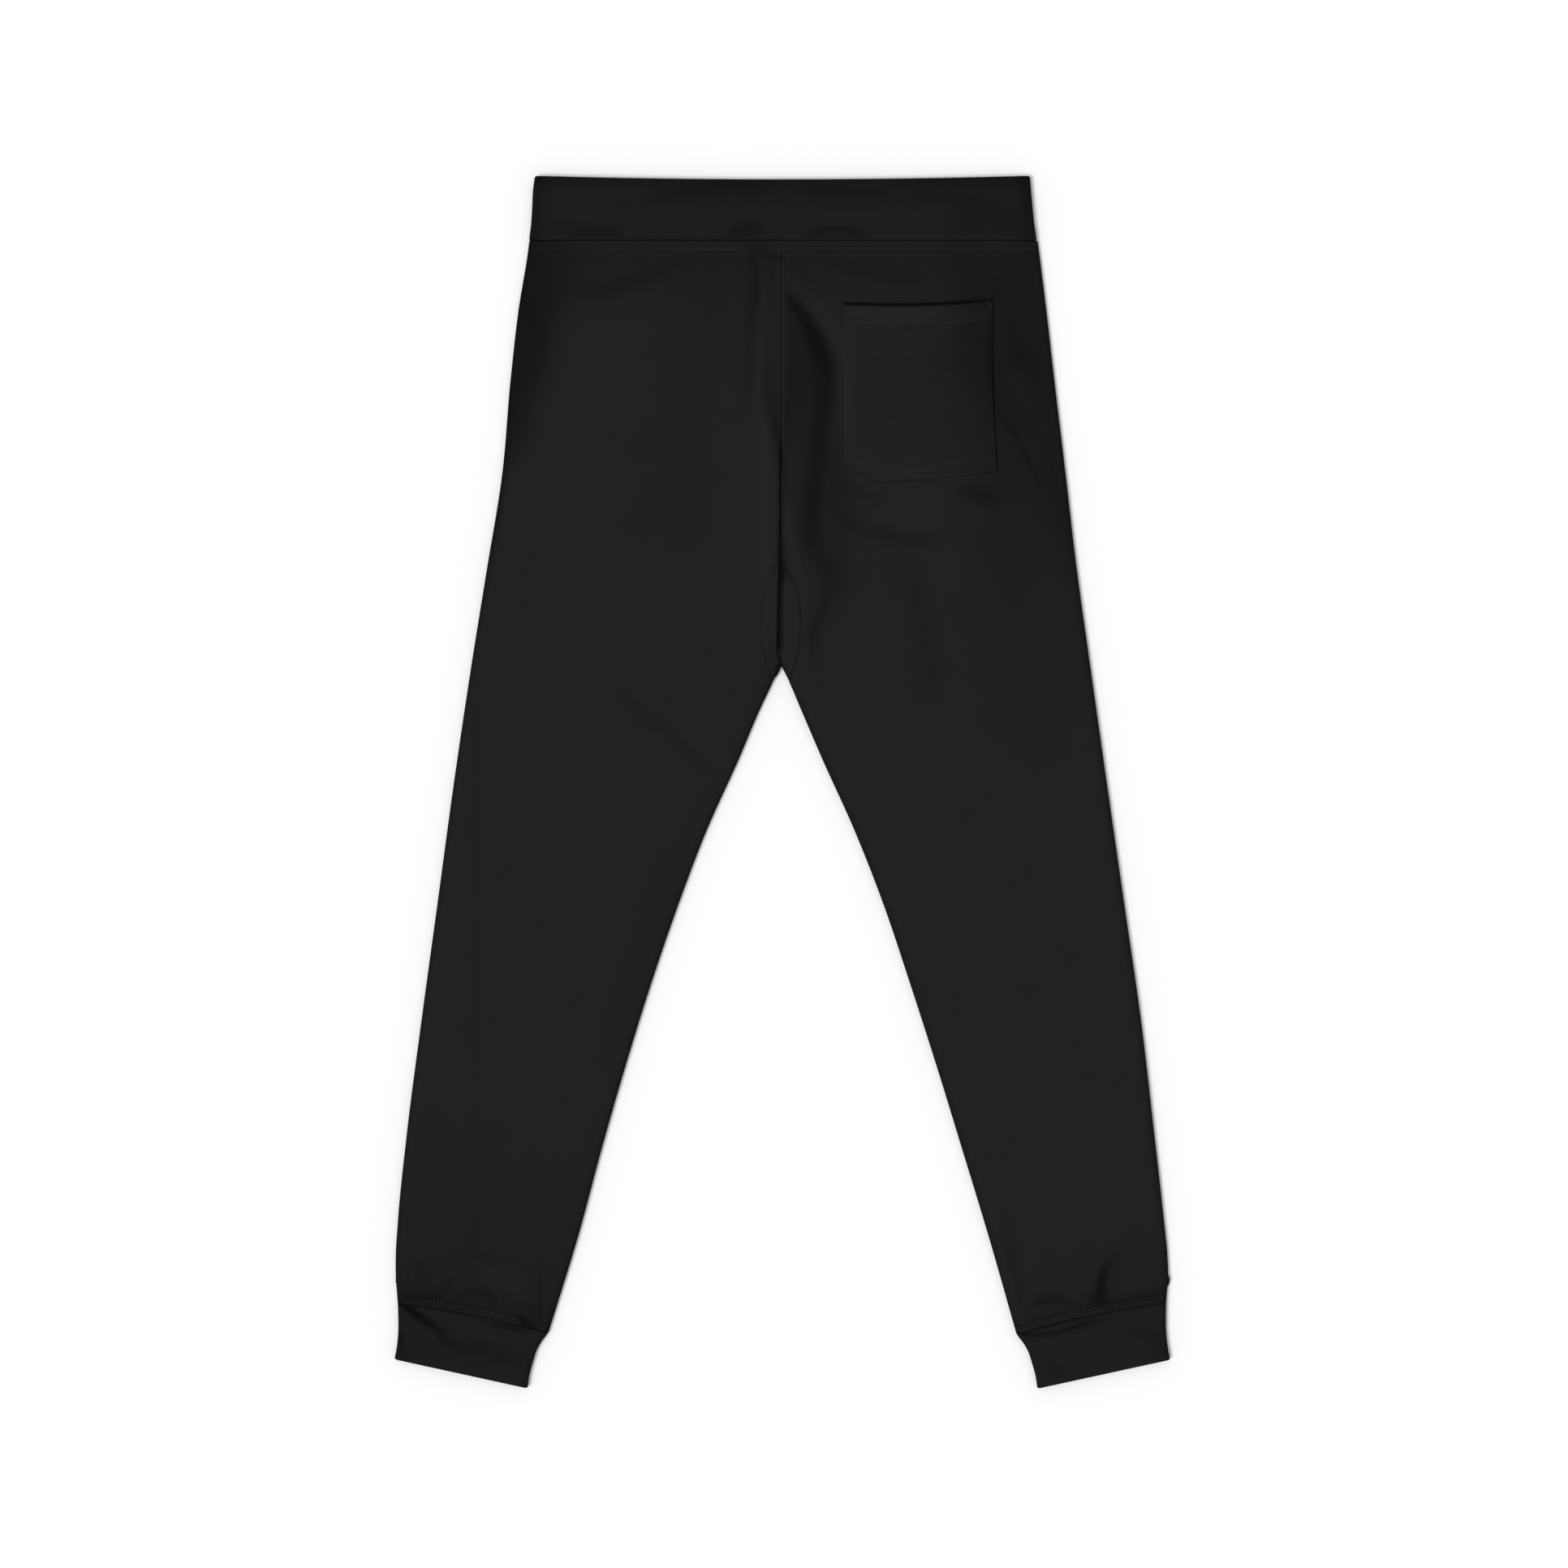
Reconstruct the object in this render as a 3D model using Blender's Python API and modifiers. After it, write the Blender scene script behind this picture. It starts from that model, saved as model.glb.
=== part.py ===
"""Jogger sweatpants lying flat on their front, back side up, waistband towards +Y.

Sizes in the tables are millimetres; every vertex is placed in metres. X runs from the wearer's
left to right, Y up the leg to the waist, Z up from the surface that the front panels rest on.
The origin is on that surface, in the middle of the garment's outline.
Each panel is an open sheet, shaped by its outline and by one height map of the cloth lying
flat, and given the cloth's thickness. Band and cuffs are flattened rings of doubled cloth.
"""

import math
from collections import namedtuple

import bmesh
import bpy
import numpy as np
from mathutils import Vector

MM = 0.001

# Cloth
FLEECE = 2.2  # thickness of the brushed-back jersey
SEAM_GAP = 0.3  # between two pieces that are sewn together
CROWN = 7.4  # top of the back panels above the surface, away from the edges
SIDE_SEAM_Z = 3.0  # height of the side seams and inseams, where back meets front
FOLD_RADIUS = 3.0  # the tight part of the turn at a side seam
FOLD_SHARE = 0.66  # how much of the rise to the crown that tight part takes
FRONT_TURN = 3.6  # how far the front panels reach in before they lie flat

# Lengths along Y
BAND_SEAM_Y = 456.8
CENTRE_X = -0.7  # centre-back and centre-front seams
HIP_Y = 290.0  # the seat's rows of points lie closer below this height than above it
GUSSET_TIP_Y = 186.0
GUSSET_END_Y = 84.9  # where the gusset's seams cross the crotch fold
CROTCH_Y = 98.6

Edge = namedtuple("Edge", "y left right")

OUTSEAM = [
    Edge(457.5, -212.6, 215.0),
    Edge(448.0, -214.0, 216.4),
    Edge(400.0, -221.8, 222.4),
    Edge(340.0, -228.7, 229.2),
    Edge(260.0, -236.0, 238.8),
    Edge(180.0, -248.6, 248.2),
    Edge(98.0, -261.9, 259.5),
    Edge(0.0, -276.4, 273.7),
    Edge(-100.0, -289.9, 288.3),
    Edge(-200.0, -303.7, 302.4),
    Edge(-300.0, -316.7, 314.1),
    Edge(-375.0, -324.7, 322.4),
    Edge(-428.0, -326.4, 326.2),
    Edge(-440.0, -324.3, 324.2),
]
INSEAM = [
    Edge(98.6, -2.5, -0.6),
    Edge(84.9, -8.6, 6.5),
    Edge(60.0, -20.1, 17.5),
    Edge(20.0, -37.0, 34.7),
    Edge(-40.0, -64.0, 61.5),
    Edge(-100.0, -87.0, 85.1),
    Edge(-170.0, -111.1, 108.4),
    Edge(-240.0, -132.8, 131.3),
    Edge(-310.0, -153.0, 152.8),
    Edge(-380.0, -171.5, 173.9),
    Edge(-466.0, -197.6, 198.0),
]

# Half width of the gusset's pointed oval at each height
Oval = namedtuple("Oval", "y half_width")
GUSSET = [
    Oval(186.0, 0.9),
    Oval(176.0, 5.6),
    Oval(164.0, 10.8),
    Oval(150.0, 15.2),
    Oval(136.0, 16.6),
    Oval(122.0, 16.2),
    Oval(108.0, 14.4),
    Oval(96.0, 11.4),
]

# How far in from each outer edge the back panel is still rising
Turn = namedtuple("Turn", "y left right inner")
EDGE_TURN = [
    Turn(460.0, 13.0, 7.0, 12.0),
    Turn(410.0, 16.0, 7.0, 12.0),
    Turn(330.0, 14.0, 7.0, 12.0),
    Turn(240.0, 9.0, 8.0, 12.0),
    Turn(60.0, 8.0, 8.0, 14.0),
    Turn(-60.0, 8.0, 8.0, 20.0),
    Turn(-220.0, 8.0, 8.0, 18.0),
    Turn(-440.0, 8.0, 8.0, 9.0),
]

# Folds pressed into the back: a streak from one end to the other, bowed sideways at its middle.
# A height below zero is a trough, above zero a ridge; width is from its middle to its foot.
Fold = namedtuple("Fold", "place x0 y0 x1 y1 bow width height")
FOLDS = [
    Fold("crease down the seat seam", -0.7, 292.0, -0.7, 60.0, 0.0, 5.0, -2.7),
    Fold("ridge left of the seat seam", -19.0, 420.0, -12.5, 285.0, -9.0, 8.0, 0.9),
    Fold("ridge left of the crease", -12.5, 300.0, -12.0, 110.0, 0.0, 7.5, 0.9),
    Fold("long trough right of the seam", 3.0, 424.0, 24.0, 205.0, 22.0, 9.0, -2.5),
    Fold("end of the long trough", 25.0, 200.0, 24.0, 105.0, 9.0, 7.0, -1.0),
    Fold("ridge outside the long trough", 20.0, 420.0, 41.0, 262.0, 8.0, 7.0, 0.9),
    Fold("ridge inside the trough's end", 3.5, 250.0, 27.0, 145.0, 5.0, 6.0, 0.6),
    Fold("smile under the band, left", -186.0, 419.0, -88.0, 441.0, -14.0, 8.0, -1.3),
    Fold("swell above that smile", -165.0, 440.0, -125.0, 444.0, 0.0, 9.0, 0.5),
    Fold("pull under the band, left", -27.0, 449.0, -27.0, 388.0, 0.0, 6.0, -0.8),
    Fold("dip over the pocket", 146.0, 439.0, 194.0, 418.0, 0.0, 14.0, -0.9),
    Fold("pull beside the pocket", 188.0, 318.0, 220.0, 246.0, 3.0, 6.0, -1.3),
    Fold("ridge beside the pocket", 190.0, 348.0, 228.0, 286.0, 0.0, 6.0, 0.6),
    Fold("soft fall on the right thigh", 110.0, 222.0, 112.0, 60.0, 0.0, 9.0, -0.8),
    Fold("drag across the left thigh", -132.0, 76.0, -58.0, 12.0, 0.0, 10.0, -1.2),
    Fold("left ankle, outer tuck", -309.0, -398.0, -300.0, -424.0, 2.0, 5.0, -1.4),
    Fold("left ankle, middle tuck", -266.0, -431.0, -240.0, -437.0, 5.0, 4.5, -1.3),
    Fold("left ankle, inner tuck", -205.0, -400.0, -211.0, -450.0, 0.0, 5.0, -1.6),
    Fold("right ankle, outer tuck", 284.0, -386.0, 268.0, -446.0, -3.0, 6.0, -1.9),
    Fold("right ankle, middle tuck", 211.0, -438.0, 246.0, -433.0, 5.0, 4.5, -1.3),
    Fold("right ankle, inner tuck", 190.0, -372.0, 200.0, -440.0, 0.0, 6.0, -1.1),
]

FOLD_TAPER = 0.15  # share of a fold's length, past each end, over which it dies away

# Patch pocket on the right back panel
POCKET_TOP_LEFT = (52.3, 404.4)
POCKET_TOP_RIGHT = (177.8, 407.4)
POCKET_LOWER_LEFT = (51.2, 269.4)
POCKET_CHAMFER_END = (80.5, 253.0)
POCKET_LOWER_RIGHT = (181.6, 261.2)
POCKET_SIDE_BOW = 1.3  # how far the outer side bows out
POCKET_SAG = 2.4  # how far the mouth and the lower edge sag
POCKET_CLOTH = 1.8
POCKET_HEM = 18.0  # depth of the turned mouth
POCKET_HEM_RISE = 0.8
POCKET_HEM_STEP = 3.0  # length over which the cloth steps up to the turned mouth
POCKET_GAPE = 0.9  # how far the mouth stands off the panel at its middle
POCKET_GAPE_DEPTH = 40.0  # how far down the pocket that reaches

# Waistband
BAND_HEIGHT = 8.0  # both layers, as it lies
BAND_CLOTH = 3.5
BAND_EDGE = 1.1  # rounding of its folded edges
Hoop = namedtuple("Hoop", "y left right")
BAND = [
    Hoop(457.1, -212.8, 214.2),
    Hoop(461.0, -212.5, 213.9),
    Hoop(470.0, -211.6, 213.0),
    Hoop(485.0, -210.8, 211.9),
    Hoop(500.0, -210.1, 210.6),
    Hoop(511.4, -208.6, 209.2),
]
BAND_TOP_DIP = 3.0  # the top edge is this much lower at the middle than at the corners

# Cuffs: where the seam and the hem meet the inner and outer edges of each leg
CUFF_HEIGHT = 7.2
CUFF_CLOTH = 3.0
CUFF_EDGE = 0.9
Cuff = namedtuple("Cuff", "side seam_out seam_in hem_out hem_in")
CUFFS = {
    "left": Cuff(-1, (-324.3, -440.0), (-197.6, -464.6), (-327.0, -486.6), (-214.6, -511.2)),
    "right": Cuff(1, (324.2, -438.6), (198.0, -465.6), (327.6, -487.0), (215.4, -511.4)),
}
# How far the cuff pulls in from the straight line between its ends, from seam to hem
Pull = namedtuple("Pull", "share outer inner")
CUFF_SHAPE = [
    Pull(0.0, 0.0, 0.0),
    Pull(0.05, 0.0, 0.0),
    Pull(0.17, 0.6, 3.0),
    Pull(0.32, 1.4, 5.0),
    Pull(0.55, 1.8, 4.2),
    Pull(0.8, 1.2, 2.2),
    Pull(1.0, 0.0, 0.0),
]

# Grid spacing of the panels, in from each edge; the first step is the upright lip at the seam
LIP = 0.7
NEAR_OUTER = (0.0, 0.0, 0.8, 3.2, 8.0, 16.0)
NEAR_INNER = (0.0, 0.0, 0.8, 3.2, 8.0, 14.5, 21.5, 30.0, 42.0)
BACK_MIDDLE = 5
FRONT_NEAR = (0.0, 0.0, 1.0, 4.0)
FRONT_MIDDLE = 5
GUSSET_ACROSS = (-1.0, -0.62, -0.25, 0.0, 0.25, 0.62, 1.0)
POCKET_ACROSS = (0.0, 0.06, 0.14, 0.225, 0.32, 0.43, 0.55, 0.67, 0.79, 0.9, 1.0)
POCKET_UPWARD = (0.0, 0.1, 0.22, 0.34, 0.46, 0.58, 0.7, 0.8, 0.86, 0.885, 0.95, 1.0)
BAND_ACROSS = 14
CUFF_ACROSS = 7
RING_TURN = 4  # steps in each quarter of the turn at a ring's sides
CORNER_RISE = 1.0  # front and back stand this far from the side seam's height at the gusset's end
CORNER_GAP = 1.9  # extra room between the panels' corners and the gusset's end
ANKLE_SHARE = 0.14  # part of the leg, up from the cuff, where the rows are close together


def column(rows, name):
    return np.array([getattr(row, name) for row in rows])


def smooth(at, places, values):
    """A smooth curve through a table's values, whichever way its places run."""
    order = np.argsort(places)
    places = places[order]
    values = values[order]
    slopes = np.gradient(values, places)
    i = np.clip(np.searchsorted(places, at) - 1, 0, len(places) - 2)
    step = places[i + 1] - places[i]
    t = np.clip((at - places[i]) / step, 0.0, 1.0)
    start = (1 + 2 * t) * (1 - t) ** 2 * values[i] + t * (1 - t) ** 2 * step * slopes[i]
    end = t * t * (3 - 2 * t) * values[i + 1] - t * t * (1 - t) * step * slopes[i + 1]
    return start + end


def edge_x(rows, side, y):
    """X of a seam at one height; side is -1 for the wearer's left and 1 for the right."""
    return smooth(y, column(rows, "y"), column(rows, "left" if side < 0 else "right"))


def gusset_half(side, y):
    """Half width of the gusset at one height, down to where its seam meets the inseam."""
    ends = Oval(GUSSET_END_Y, abs(edge_x(INSEAM, side, GUSSET_END_Y) - CENTRE_X))
    rows = [*GUSSET, ends]
    return smooth(y, column(rows, "y"), column(rows, "half_width"))


def inner_x(side, y):
    """The inner edge of a panel: centre seam, then gusset seam, then inseam."""
    if y > GUSSET_TIP_Y:
        return CENTRE_X
    if y > GUSSET_END_Y:
        return CENTRE_X + side * gusset_half(side, y)
    return edge_x(INSEAM, side, y)


def outline(rows, side, low, high, steps=90):
    heights = np.linspace(low, high, steps)
    return np.stack([edge_x(rows, side, heights), heights], axis=1)


def distance(point, line):
    """Shortest distance from a point to a line of short straight pieces, all in plan."""
    start = line[:-1]
    run = line[1:] - start
    share = ((point - start) * run).sum(1) / (run * run).sum(1)
    nearest = start + run * np.clip(share, 0.0, 1.0)[:, None]
    return float(np.sqrt(((point - nearest) ** 2).sum(1)).min())


OUTER_LINES = {
    side: outline(OUTSEAM, side, OUTSEAM[-1].y, OUTSEAM[0].y) for side in (-1, 1)
}
INNER_LINE = np.concatenate(
    [
        outline(INSEAM, -1, INSEAM[-1].y, CROTCH_Y),
        outline(INSEAM, 1, INSEAM[-1].y, CROTCH_Y)[::-1],
    ]
)


def turn_width(name, y):
    return float(smooth(y, column(EDGE_TURN, "y"), column(EDGE_TURN, name)))


def arc(share):
    """Height of a quarter circle of radius 1 above its rim, share in from the rim."""
    return math.sqrt(1.0 - (1.0 - min(max(share, 0.0), 1.0)) ** 2)


def ease(share):
    share = min(max(share, 0.0), 1.0)
    return share * share * (3.0 - 2.0 * share)


def turned(inward, width):
    """Rise of the cloth from its seam, 0, to where it lies flat, 1."""
    return FOLD_SHARE * arc(inward / FOLD_RADIUS) + (1 - FOLD_SHARE) * ease(inward / width)


def fold_rise(fold, x, y):
    """What one fold adds to the height of the cloth."""
    along_x = fold.x1 - fold.x0
    along_y = fold.y1 - fold.y0
    length = math.hypot(along_x, along_y)
    share = ((x - fold.x0) * along_x + (y - fold.y0) * along_y) / length**2
    if not -FOLD_TAPER < share < 1.0 + FOLD_TAPER:
        return 0.0
    across = ((x - fold.x0) * -along_y + (y - fold.y0) * along_x) / length
    bulge = 4.0 * share * (1.0 - share)
    off = (across - fold.bow * bulge) / fold.width
    start = ease((share + FOLD_TAPER) / (2 * FOLD_TAPER))
    end = ease((1.0 + FOLD_TAPER - share) / (2 * FOLD_TAPER))
    return fold.height * start * end * math.exp(-2.0 * off * off)


def back_height(x, y):
    """Top of the back panels at a place in plan."""
    side = -1 if x < CENTRE_X else 1
    point = np.array([x, y])
    width = turn_width("left" if side < 0 else "right", y)
    outer = turned(distance(point, OUTER_LINES[side]), width)
    inner = turned(distance(point, INNER_LINE), turn_width("inner", y))
    folds = sum(fold_rise(fold, x, y) for fold in FOLDS)
    return SIDE_SEAM_Z + (CROWN - SIDE_SEAM_Z) * outer * inner + folds * ease(min(outer, inner))


def front_height(x, y):
    """Underside of the front panels: on the surface, rising to the seams at the edges."""
    side = -1 if x < CENTRE_X else 1
    point = np.array([x, y])
    inward = min(distance(point, OUTER_LINES[side]), distance(point, INNER_LINE))
    return SIDE_SEAM_Z * (1.0 - arc(inward / FRONT_TURN))


def placed(x, y, z):
    return Vector((x, y, z)) * MM


def sheet(name, points, flip=False, wrap=False):
    """A grid mesh moved to rows of points; wrap joins its first and last columns."""
    rows = len(points)
    columns = len(points[0])
    bm = bmesh.new()
    bmesh.ops.create_grid(bm, x_segments=columns - 1, y_segments=rows - 1, size=1.0)
    for vertex in bm.verts:
        i = round((vertex.co.x + 1.0) / 2.0 * (columns - 1))
        j = round((vertex.co.y + 1.0) / 2.0 * (rows - 1))
        vertex.co = points[j][i]
    if wrap:
        bmesh.ops.remove_doubles(bm, verts=bm.verts, dist=1e-7)
    if flip:
        bmesh.ops.reverse_faces(bm, faces=bm.faces)
    mesh = bpy.data.meshes.new(name)
    bm.to_mesh(mesh)
    bm.free()
    mesh.shade_smooth()
    obj = bpy.data.objects.new(name, mesh)
    PARTS.objects.link(obj)
    return obj


def thicken(obj, cloth):
    """Gives a sheet its cloth, on the side away from its normals."""
    modifier = obj.modifiers.new("cloth", "SOLIDIFY")
    modifier.thickness = cloth * MM
    modifier.offset = -1.0
    modifier.use_even_offset = True
    modifier.use_quality_normals = True


def round_edges(obj, radius):
    modifier = obj.modifiers.new("folded edges", "BEVEL")
    modifier.width = radius * MM
    modifier.segments = 2
    modifier.limit_method = "ANGLE"
    modifier.angle_limit = math.radians(50)
    modifier.use_clamp_overlap = False


def dress(obj, colour, roughness):
    material = bpy.data.materials.new(obj.name)
    material.use_nodes = True
    shader = material.node_tree.nodes["Principled BSDF"]
    shader.inputs["Base Color"].default_value = (*colour, 1.0)
    shader.inputs["Roughness"].default_value = roughness
    shader.inputs["Metallic"].default_value = 0.0
    obj.data.materials.append(material)


def spread(width, outer, inner, middle):
    """Distances from the outer edge: close together at both edges, even between them."""
    start = outer[-1]
    end = width - inner[-1]
    between = np.linspace(start, end, middle + 2)[1:-1]
    return [*outer, *between, *(width - np.array(inner[::-1]))]


def row_heights(side, ankle, leg, seat, hip):
    """Heights of each row at the outer and the inner edge, from the cuff up to the band."""
    cuff = CUFFS["left" if side < 0 else "right"]
    gusset = [oval.y for oval in GUSSET]
    rows = []
    ankle_shares = np.linspace(1.0, 1.0 - ANKLE_SHARE, ankle + 1)[:-1]
    for share in [*ankle_shares, *np.linspace(1.0 - ANKLE_SHARE, 0.0, leg + 1)]:
        outer = GUSSET_END_Y + (cuff.seam_out[1] - GUSSET_END_Y) * share
        inner = GUSSET_END_Y + (cuff.seam_in[1] - GUSSET_END_Y) * share
        rows.append((outer, inner))
    rows += [(y, y) for y in reversed(gusset)]
    rows += [(y, y) for y in np.linspace(GUSSET_TIP_Y, HIP_Y, seat + 1)[1:]]
    rows += [(y, y) for y in np.linspace(HIP_Y, BAND_SEAM_Y, hip + 1)[1:]]
    return rows


def panel_points(side, rows, outer_steps, inner_steps, middle, height, up):
    """Rows of points across one panel, running towards +X; up is 1 for a back, -1 for a front."""
    rim = SIDE_SEAM_Z + up * SEAM_GAP / 2
    points = []
    for outer_y, inner_y in rows:
        sewn_flat = inner_y > GUSSET_END_Y
        corner = inner_y == GUSSET_END_Y
        start = np.array([edge_x(OUTSEAM, side, outer_y), outer_y])
        end = np.array([inner_x(side, inner_y), inner_y])
        end[0] += side * SEAM_GAP / 2 * (sewn_flat or corner)
        width = float(np.linalg.norm(end - start))
        steps = spread(width, outer_steps, inner_steps, middle)
        steps[-2] -= LIP / 2 * sewn_flat
        line = []
        for step in steps:
            x, y = start + (end - start) * step / width
            line.append([x, y, height(x, y)])
        line[0][2] = rim
        line[1][2] = rim + up * LIP
        if not sewn_flat:
            line[-1][2] = rim + up * CORNER_RISE * corner
            line[-2][2] = line[-1][2] + up * LIP
        line = [placed(*point) for point in line]
        points.append(line if side < 0 else line[::-1])
    return points


def back_panel(name, side):
    rows = row_heights(side, ankle=6, leg=13, seat=7, hip=11)
    points = panel_points(side, rows, NEAR_OUTER, NEAR_INNER, BACK_MIDDLE, back_height, 1)
    obj = sheet(name, points)
    thicken(obj, FLEECE)
    dress(obj, (0.016, 0.015, 0.016), 0.95)


def front_panel(name, side):
    rows = row_heights(side, ankle=1, leg=9, seat=3, hip=4)
    points = panel_points(side, rows, FRONT_NEAR, FRONT_NEAR, FRONT_MIDDLE, front_height, -1)
    obj = sheet(name, points, flip=True)
    thicken(obj, FLEECE)
    dress(obj, (0.016, 0.015, 0.016), 0.95)


def gusset_row(height_at_edge, height, level=None):
    """One row of the gusset; its middle lies higher up the seat than its ends at the fold."""
    share = (GUSSET_TIP_Y - height_at_edge) / (GUSSET_TIP_Y - GUSSET_END_Y)
    middle_y = GUSSET_TIP_Y - share * (GUSSET_TIP_Y - CROTCH_Y)
    line = []
    for w in GUSSET_ACROSS:
        side = -1 if w < 0 else 1
        half = gusset_half(side, height_at_edge) - SEAM_GAP / 2 - CORNER_GAP * share**4
        x = CENTRE_X + w * half
        y = middle_y + (height_at_edge - middle_y) * abs(w)
        z = height(x, y) if level is None else level
        line.append(placed(x, y, z))
    return line


def gusset(name):
    edges = [oval.y for oval in GUSSET]
    rising = [gusset_row(y, front_height) for y in edges]
    fold = [gusset_row(GUSSET_END_Y, None, level=SIDE_SEAM_Z)]
    falling = [gusset_row(y, back_height) for y in reversed(edges)]
    obj = sheet(name, rising + fold + falling)
    thicken(obj, FLEECE)
    dress(obj, (0.016, 0.015, 0.016), 0.95)


def ring(left, right, height, across, dip=0.0):
    """One turn round a flattened ring between its two folds; dip lowers its middle in plan."""
    radius = height / 2.0
    start = np.array(left, float)
    run = np.array(right, float) - start
    width = float(np.linalg.norm(run))
    run /= width
    places = []
    for k in range(RING_TURN):
        angle = math.pi / 2.0 * k / RING_TURN
        places.append((radius * (1 - math.cos(angle)), radius * (1 + math.sin(angle))))
    places += [(s, height) for s in np.linspace(radius, width - radius, across + 1)[:-1]]
    for k in range(2 * RING_TURN):
        angle = math.pi / 2.0 * (1 - k / RING_TURN)
        places.append(
            (width - radius * (1 - math.cos(angle)), radius * (1 + math.sin(angle)))
        )
    places += [(s, 0.0) for s in np.linspace(width - radius, radius, across + 1)[:-1]]
    for k in range(RING_TURN + 1):
        angle = math.pi / 2.0 * (1 - k / RING_TURN)
        places.append((radius * (1 - math.cos(angle)), radius * (1 - math.sin(angle))))
    line = []
    for s, z in places:
        x, y = start + run * s
        y -= dip * math.sin(math.pi * min(max(s / width, 0.0), 1.0))
        line.append(placed(x, y, z))
    return line


def waistband(name):
    points = []
    for hoop in reversed(BAND):
        dip = BAND_TOP_DIP * (hoop.y - BAND[0].y) / (BAND[-1].y - BAND[0].y)
        ends = ((hoop.left, hoop.y), (hoop.right, hoop.y))
        points.append(ring(*ends, BAND_HEIGHT, BAND_ACROSS, dip))
    obj = sheet(name, points, wrap=True, flip=True)
    thicken(obj, BAND_CLOTH)
    round_edges(obj, BAND_EDGE)
    dress(obj, (0.012, 0.011, 0.012), 0.9)


def cuff(name, which):
    """A ring narrower than the leg, pulled in below its seam by the knit."""
    shape = CUFFS[which]
    shares = column(CUFF_SHAPE, "share")
    seam_out = np.array(shape.seam_out)
    seam_in = np.array(shape.seam_in)
    hem_out = np.array(shape.hem_out)
    hem_in = np.array(shape.hem_in)
    down = (hem_out - seam_out) / np.linalg.norm(hem_out - seam_out)
    points = []
    for share in shares:
        outer = seam_out + (hem_out - seam_out) * share
        inner = seam_in + (hem_in - seam_in) * share
        inward = (inner - outer) / np.linalg.norm(inner - outer)
        pull_out = smooth(share, shares, column(CUFF_SHAPE, "outer"))
        pull_in = smooth(share, shares, column(CUFF_SHAPE, "inner"))
        gap = down * SEAM_GAP * (1.0 - share)
        outer = outer + inward * pull_out + gap
        inner = inner - inward * pull_in + gap
        ends = (outer, inner) if shape.side < 0 else (inner, outer)
        points.append(ring(*ends, CUFF_HEIGHT, CUFF_ACROSS))
    obj = sheet(name, points, wrap=True, flip=True)
    thicken(obj, CUFF_CLOTH)
    round_edges(obj, CUFF_EDGE)
    dress(obj, (0.011, 0.010, 0.011), 0.9)


def pocket_point(u, v):
    """A place on the pocket in plan: u from inner to outer side, v from lower edge to mouth."""
    left_low, left_top = POCKET_LOWER_LEFT, POCKET_TOP_LEFT
    right_low, right_top = POCKET_LOWER_RIGHT, POCKET_TOP_RIGHT
    left = left_low[0] + (left_top[0] - left_low[0]) * v
    right = right_low[0] + (right_top[0] - right_low[0]) * v
    right += POCKET_SIDE_BOW * math.sin(math.pi * v)
    x = left + (right - left) * u
    chamfer = (POCKET_CHAMFER_END[0] - left_low[0]) / (right_low[0] - left_low[0])
    if u < chamfer:
        low = left_low[1] + (POCKET_CHAMFER_END[1] - left_low[1]) * u / chamfer
    else:
        share = (u - chamfer) / (1.0 - chamfer)
        low = POCKET_CHAMFER_END[1] + (right_low[1] - POCKET_CHAMFER_END[1]) * share
        low -= POCKET_SAG * math.sin(math.pi * share) / 2
    top = left_top[1] + (right_top[1] - left_top[1]) * u - POCKET_SAG * math.sin(math.pi * u)
    return x, low + (top - low) * v, top


def pocket(name):
    """The patch lies on the right back panel, with its turned mouth standing a little off."""
    points = []
    for v in POCKET_UPWARD:
        line = []
        for u in POCKET_ACROSS:
            x, y, top = pocket_point(u, v)
            hem = ease((POCKET_HEM - (top - y)) / POCKET_HEM_STEP)
            gape = POCKET_GAPE * ease(1.0 - (top - y) / POCKET_GAPE_DEPTH) * math.sin(math.pi * u)
            z = back_height(x, y) + SEAM_GAP + POCKET_CLOTH
            line.append(placed(x, y, z + POCKET_HEM_RISE * hem + gape))
        points.append(line)
    obj = sheet(name, points)
    thicken(obj, POCKET_CLOTH)
    dress(obj, (0.0145, 0.0135, 0.0145), 0.95)


for old in list(bpy.data.objects):
    bpy.data.objects.remove(old)
PARTS = bpy.data.collections.new("jogger_sweatpants")
bpy.context.scene.collection.children.link(PARTS)

back_panel("back_left", -1)
back_panel("back_right", 1)
front_panel("front_left", -1)
front_panel("front_right", 1)
gusset("gusset")
waistband("waistband")
cuff("cuff_left", "left")
cuff("cuff_right", "right")
pocket("back_pocket")
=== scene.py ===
"""Jogger sweatpants laid flat on a pale floor, back side up: the finish of every piece.

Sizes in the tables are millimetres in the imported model's own frame: X runs from the wearer's
left to right, Y up the leg to the waist, Z up from the floor. Vertices are placed in metres.
"""

import math
from collections import namedtuple

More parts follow.
